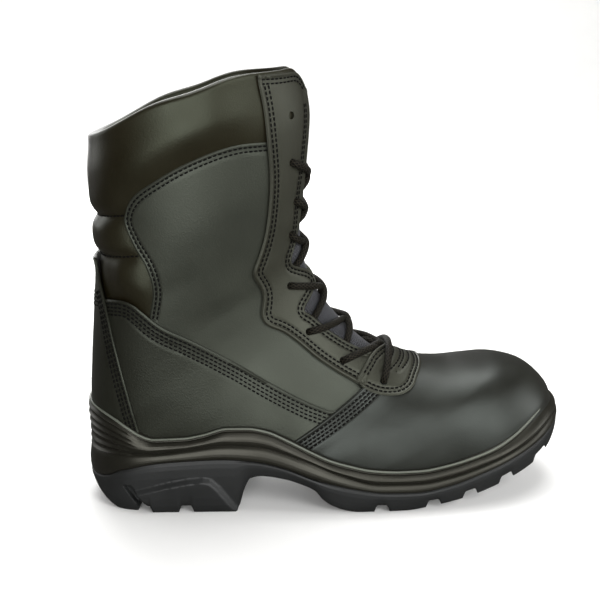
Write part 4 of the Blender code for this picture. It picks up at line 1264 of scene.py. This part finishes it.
def sole_edge(inset, side, share):
    """Places x, y of one side of the sole's outline at an inset, for shares of the way from heel to toe."""
    angle = np.linspace(0, math.pi, 500)
    x = LAST_HEEL_X + (LAST_TOE_X - LAST_HEEL_X) * (1 - np.cos(angle)) / 2
    y = side * last_half_width(x, side)
    dx, dy = np.gradient(x), np.gradient(y)
    dx[0], dy[0], dx[-1], dy[-1] = 0, side, 0, -side
    size = np.hypot(dx, dy)
    margin = SOLE_MARGIN - inset
    off_x, off_y = x - side * dy / size * margin, y + side * dx / size * margin
    start, end = off_x[0], off_x[-1]
    order = np.argsort(off_x)
    round_share = np.arccos(np.clip(1 - 2 * (off_x[order] - start) / (end - start), -1, 1))
    rounded = np.interp(np.arccos(np.clip(1 - 2 * share, -1, 1)), round_share, off_y[order])
    return start + (end - start) * share, rounded


def sole_shares(count):
    """Shares of the sole's length, close together at both ends and even between them."""
    even = np.linspace(0, 1, count)
    return even - 0.6 * np.sin(2 * math.pi * even) / (2 * math.pi)


def groove_cut(x, y):
    """Depth of the main tread grooves at a place of the sole's bottom, 0 to 1."""
    cut = np.zeros(np.broadcast(x, y).shape)
    out = np.abs(y)
    for groove_x in TREAD_GROOVES_X:
        away = np.abs(x - groove_x + np.maximum(out - TREAD_SPINE_HALF, 0) * TREAD_SWEEP)
        wall = 1 - step(TREAD_HALF_WIDTH - 1.1, TREAD_HALF_WIDTH + 0.9, away)
        cut = np.maximum(cut, wall * step(TREAD_SPINE_HALF - 1, TREAD_SPINE_HALF + 1.5, out))
    return cut


SIPE_PITCH = 17.3
CHEVRON_PITCH = 13.0
FINE_TREAD_DEPTH = 1.6


def fine_tread(x, y):
    """Shallow sipes and the spine's chevrons, 0 to 1."""
    out = np.abs(y)
    sipes = hump((x + 0.35 * out) % SIPE_PITCH, 8.6, 0.9) * step(13, 16, out) * (1 - step(30, 34, out))
    spine = hump((x - 0.6 * out) % CHEVRON_PITCH, 6.5, 1.1) * (1 - step(6, 8, out))
    return np.maximum(sipes, spine)


# Profiles of the sole's walls: share of the height, and how far the wall stands in from the outline there
OUTSOLE_LEVELS = (
    (0.0, 3.5), (0.06, 2.4), (0.15, 1.75), (0.3, 1.2), (0.5, 0.75),
    (0.7, 0.4), (0.86, 0.35), (0.95, 0.6), (1.0, 1.3),
)
LOWER_BAND = (
    (0.0, 1.8), (0.04, 0.9), (0.12, 0.3), (0.3, 0.1), (0.5, 0.2),
    (0.66, 0.5), (0.8, 0.9), (0.9, 1.4), (0.96, 1.9),
)
UPPER_BAND = (
    (0.0, 2.2), (0.05, 1.6), (0.12, 1.1), (0.22, 0.8), (0.34, 0.7), (0.46, 0.85), (0.58, 1.25), (0.68, 1.75),
    (0.77, 2.3), (0.82, 2.8), (0.85, 3.3), (0.87, 3.4), (1.0, 3.4),
)

# Side of the heel block, as x, z
HEEL_FIELD = ((27, 13.5), (40, 17), (52, 20), (64, 22.3), (73, 23.2), (78, 22), (83, 17), (93, 3))
HEEL_NOTCH = ((25.5, 18), (30, 11), (38, 0))
HEEL_PROUD = 3.0
HEEL_BEVEL = 2.6
NOTCH_SUNK = 3.4


def heel_relief(x, z):
    """How far the side of the heel block stands out: a bevelled lug field, and a slanted notch behind it."""
    under = -line_distance(x, z, HEEL_FIELD)
    notch = np.abs(line_distance(x, z, HEEL_NOTCH))
    before = step(0, 2, x - np.interp(z, [0, 11, 18], [38, 30, 25.5]))
    field = HEEL_PROUD * np.clip(under / HEEL_BEVEL, 0, 1) * before * (1 - step(94, 96, x))
    cut = (1 - step(1.2, 2.4, notch)) * (1 - step(16, 18, z))
    return field * (1 - cut) - NOTCH_SUNK * cut


def fine_levels(table, count):
    """A profile's own levels and some more between them, each with its inset."""
    own, insets = np.array(table).T
    levels = np.unique(np.concatenate([own, np.linspace(0, own[-1], count)]))
    return list(zip(levels, np.interp(levels, own, insets)))


def side_height(low_line, high_line, share, x):
    """Height at a share of the way from one sole line to another."""
    return (1 - share) * line_height(low_line, x) + share * line_height(high_line, x)


def outsole_piece():
    """Heel block, arch and forefoot, with lugs cut at the sides and underneath."""
    share = sole_shares(400)
    x_line = share * SOLE_LENGTH
    columns = []
    for side in (-1, 1):
        wall = []
        for level, inset in fine_levels(OUTSOLE_LEVELS, 46):
            x, y = sole_edge(inset, side, share)
            cut = TREAD_DEPTH * groove_cut(x, y)
            z = side_height(BOTTOM_LINE, OUTSOLE_LINE, level, x_line) + cut * (1 - level) ** 2
            wall.append(np.stack([x, y + side * heel_relief(x, z), z], -1))
        seat_x, seat_y = sole_edge(SEAT_INSET, side, share)
        wall.append(np.stack([seat_x, seat_y, line_height(SEAT_LINE, x_line)], -1))
        columns.append(wall)
    lateral, medial = columns
    across = np.linspace(0, 1, 46)[1:-1]
    bottom = []
    for t in across:
        point = lateral[0] * (1 - t) + medial[0] * t
        x, y = point[:, 0], point[:, 1]
        rim = step(0, 0.12, t) * (1 - step(0.88, 1, t))
        depth = TREAD_DEPTH * groove_cut(x, y) + FINE_TREAD_DEPTH * fine_tread(x, y) * rim
        point[:, 2] = line_height(BOTTOM_LINE, x_line) + depth
        bottom.append(point)
    top = [lateral[-1] * (1 - t) + medial[-1] * t for t in (0.33, 0.67)]
    ring = lateral[::-1] + bottom + medial + top[::-1] + [lateral[-1]]
    close_ring("outsole_tread", ring, OUTSOLE_PU, "outsole")


def close_ring(name, ring, material, node):
    """A solid from rings of points round the sole, closed at the heel and the toe."""
    obj = grid_mesh(name, np.stack(ring, axis=1))
    edit(obj, merge_doubles, face_outwards)
    finish_mesh(obj, material, angle=40)
    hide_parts(node)
    return obj


BEAD_LEVEL = 0.85
BEAD_HEIGHT = 1.9
BEAD_INSET = 2.9
BEAD_RADIUS = 0.75
BEAD_SIDES = 8
TOE_LEAN = 3.8
LIP_TOP = ((4.2, 0.25), (6.0, 0.35), (9.2, 0.1))
HEEL_RIB_COUNT = 5
HEEL_RIB_DEPTH = 1.5
HEEL_RIB_INSET = 1.3
HEEL_RIB_TOP = 0.8
WAIST_X = (45, 55, 175, 190)


def bead_share(level, low, high, x):
    """Share of the upper band's height for a level, so that the bead keeps its own height."""
    bead = BEAD_HEIGHT / (line_height(high, x) - line_height(low, x))
    if level < BEAD_LEVEL:
        return level / BEAD_LEVEL * (1 - bead)
    return 1 - bead * (1 - level) / (1 - BEAD_LEVEL)


def leaning_edge(inset, lean, side, share):
    """The sole's edge at an inset that grows by a lean at the toe, where the cup closes on the leather."""
    plain = np.array(sole_edge(inset, side, share))
    leaned = np.array(sole_edge(inset + lean, side, share))
    return plain + (leaned - plain) * step(240, 300, share * SOLE_LENGTH)


def midsole_piece():
    """The cup round the upper: two bands with a groove between, a bead at the lip, ribs round the heel."""
    share = sole_shares(270)
    x_line = share * SOLE_LENGTH
    heel = 1 - step(12, 34, x_line)
    bands = (
        (OUTSOLE_LINE, GROOVE_LINE, fine_levels(LOWER_BAND, 10), False),
        (GROOVE_LINE, LIP_LINE, fine_levels(UPPER_BAND, 40), True),
    )
    columns = []
    for side in (-1, 1):
        wall = []
        x, y = sole_edge(SEAT_INSET, side, share)
        wall.append(np.stack([x, y, line_height(SEAT_LINE, x_line) + 0.3], -1))
        for low, high, band, ribbed in bands:
            for level, inset in band:
                z = side_height(low, high, bead_share(level, low, high, x_line) if ribbed else level, x_line)
                plain = leaning_edge(inset, TOE_LEAN * level**1.5 if ribbed else 0, side, share)
                if ribbed and level < HEEL_RIB_TOP:
                    rib = abs(math.sin(math.pi * HEEL_RIB_COUNT * level / HEEL_RIB_TOP))
                    waved = np.array(sole_edge(HEEL_RIB_INSET + HEEL_RIB_DEPTH * rib, side, share))
                    plain = plain + (waved - plain) * heel
                wall.append(np.stack([*plain, z], -1))
        lip = line_height(LIP_LINE, x_line)
        for inset, rise in LIP_TOP:
            x, y = leaning_edge(inset, TOE_LEAN, side, share)
            waist = side * np.maximum(side * y, wall_inside(x, lip + rise, side))
            wall.append(np.stack([x, np.where(x < WAIST_X[-1], waist, y), lip + rise], -1))
        x, y = leaning_edge(10.0, TOE_LEAN, side, share)
        wall.append(np.stack([x, y, line_height(SEAT_LINE, x_line) + 4], -1))
        columns.append(wall)
    lateral, medial = columns
    floor = [lateral[-1] * (1 - t) + medial[-1] * t for t in (0.33, 0.67)]
    under = [lateral[0] * (1 - t) + medial[0] * t for t in (0.33, 0.67)]
    ring = lateral + floor + medial[::-1] + under[::-1] + [lateral[0]]
    close_ring("midsole_cup", ring, MIDSOLE_PU, "midsole")


def bead_piece():
    """The thin bead along the lip, where the midsole meets the leather: its pale grey is a painted highlight,
    standing for the shine along the lip's rounded edge.
    """
    share = sole_shares(300)
    x_line = share * SOLE_LENGTH
    lip = line_height(LIP_LINE, x_line) - 0.1
    lateral = np.stack([*leaning_edge(BEAD_INSET, TOE_LEAN, -1, share), lip], -1)
    medial = np.stack([*leaning_edge(BEAD_INSET, TOE_LEAN, 1, share), lip], -1)
    centres = np.concatenate([lateral, medial[-2:0:-1]])
    along = unit(np.roll(centres, -1, axis=0) - np.roll(centres, 1, axis=0))
    outward = unit(np.cross(along, [0, 0, 1]))
    upward = np.cross(outward, along)
    angle = np.linspace(0, 2 * math.pi, BEAD_SIDES + 1)
    rings = [centres + BEAD_RADIUS * (math.cos(a) * outward + math.sin(a) * upward) for a in angle]
    points = np.stack(rings, axis=1)
    bead = grid_mesh("midsole_bead", np.concatenate([points, points[:1]]))
    edit(bead, merge_doubles, face_outwards)
    finish_mesh(bead, BEAD_PAINTED_HIGHLIGHT_PU, angle=70)


def wall_inside(x, z, side):
    """Half width just inside the upper's wall at the waist, where the upper is wider than the sole."""
    start, full, fading, end = WAIST_X
    places = side_places(np.stack([np.clip(x, start, end), z], -1))
    if side > 0:
        places = mirrored(places)
    half = side * on_skin(places[:, 0], places[:, 1], -1.2)[:, 1]
    return half * step(start, full, x) * (1 - step(fading, end, x))


# Stage


SWEEP_RADIUS = 1.0
SWEEP_Y = 2.4
STAGE_HALF = 4.0


def studio_sweep():
    """Pale paper that lies under the boot and turns up in a wide curve behind it."""
    turn = np.linspace(0, math.pi / 2, 17)
    curve_y = SWEEP_Y - SWEEP_RADIUS + SWEEP_RADIUS * np.sin(turn)
    curve_z = SWEEP_RADIUS * (1 - np.cos(turn))
    y = np.concatenate([[-STAGE_HALF], curve_y, [SWEEP_Y]])
    z = np.concatenate([[0], curve_z, [STAGE_HALF]])
    rows = [np.stack([np.full(len(y), x), y, z], -1) for x in (-STAGE_HALF, 0, STAGE_HALF)]
    floor = grid_mesh("studio_floor", np.array(rows) / MM - SHIFT)
    material, tree, shader, place = blank_material("matt_white_paper", 0.9)
    speck = add(tree, "TexNoise", {"Vector": place, "Scale": per_mm(60)})
    colour = add(tree, "Mix", {"Factor": speck.outputs["Fac"]}, data_type="RGBA")
    colour.inputs[6].default_value = srgb("#f1f1f0")
    colour.inputs[7].default_value = srgb("#f6f6f5")
    tree.links.new(colour.outputs[2], shader.inputs["Base Color"])
    floor.data.materials.append(material)
    select_only(floor)
    bpy.ops.object.shade_smooth()
    # The leather and the sole don't mirror the paper, so that the undersides stay as dark as in the photo
    floor.visible_glossy = False


def stage_set():
    """Soft studio light and the camera at the photograph's angle."""
    studio_sweep()
    scene = bpy.context.scene
    scene.view_settings.view_transform = "Standard"
    scene.world = scene.world or bpy.data.worlds.new("studio")
    scene.world.use_nodes = True
    background = scene.world.node_tree.nodes["Background"]
    background.inputs["Color"].default_value = srgb("#f3eee6")
    background.inputs["Strength"].default_value = 0.12
    lights = (
        ("overhead", (0.1, 0.2, 1.4), (0.03, 0.0, 0.08), 1.0, 12.0),
        ("medial_fill", (-0.3, 1.3, 0.55), (0.0, 0.0, 0.12), 1.0, 14.0),
        ("back_fill", (-1.1, 0.6, 0.5), (0.0, 0.0, 0.12), 0.7, 3.0),
        ("front_right", (0.75, -1.2, 0.9), (0.02, 0.0, 0.15), 0.9, 14.0),
        ("front_low", (-0.2, -1.35, 0.2), (-0.04, 0.0, 0.12), 0.9, 17.0),
        ("right_low", (0.95, -1.0, 0.25), (0.0, 0.0, 0.15), 0.6, 4.5),
        ("toe_side", (1.3, -0.25, 0.4), (0.08, 0.0, 0.06), 0.7, 6.0),
        ("paper", (0.0, 1.1, 2.2), (0.0, 2.0, 0.3), 1.8, 40.0),
    )
    for name, at, aim, size, power in lights:
        deselect()
        bpy.ops.object.light_add(type="AREA", location=at)
        light = bpy.context.object
        light.name = name
        light.data.size = size
        light.data.energy = power
        light.visible_camera = False
        light.rotation_euler = (Vector(aim) - Vector(at)).to_track_quat("-Z", "Y").to_euler()
    deselect()
    bpy.ops.object.camera_add(location=CAMERA_AT)
    camera = bpy.context.object
    look = (Vector(CAMERA_AIM) - Vector(CAMERA_AT)).to_track_quat("-Z", "Y").to_matrix()
    camera.rotation_euler = (look @ Matrix.Rotation(math.radians(CAMERA_ROLL_DEG), 3, "Z")).to_euler()
    camera.data.angle = math.radians(CAMERA_FOV_DEG)
    scene.camera = camera


stage_set()
HOLES = side_places(EYELETS)
vamp_piece()
quarter_pieces()
collar_piece()
lining_piece()
eyestay_pieces(HOLES)
tab_piece(HOLES)
counter_piece()
backstay_piece()
tongue_piece()
footbed_piece()
lace_piece(HOLES)
midsole_piece()
bead_piece()
outsole_piece()
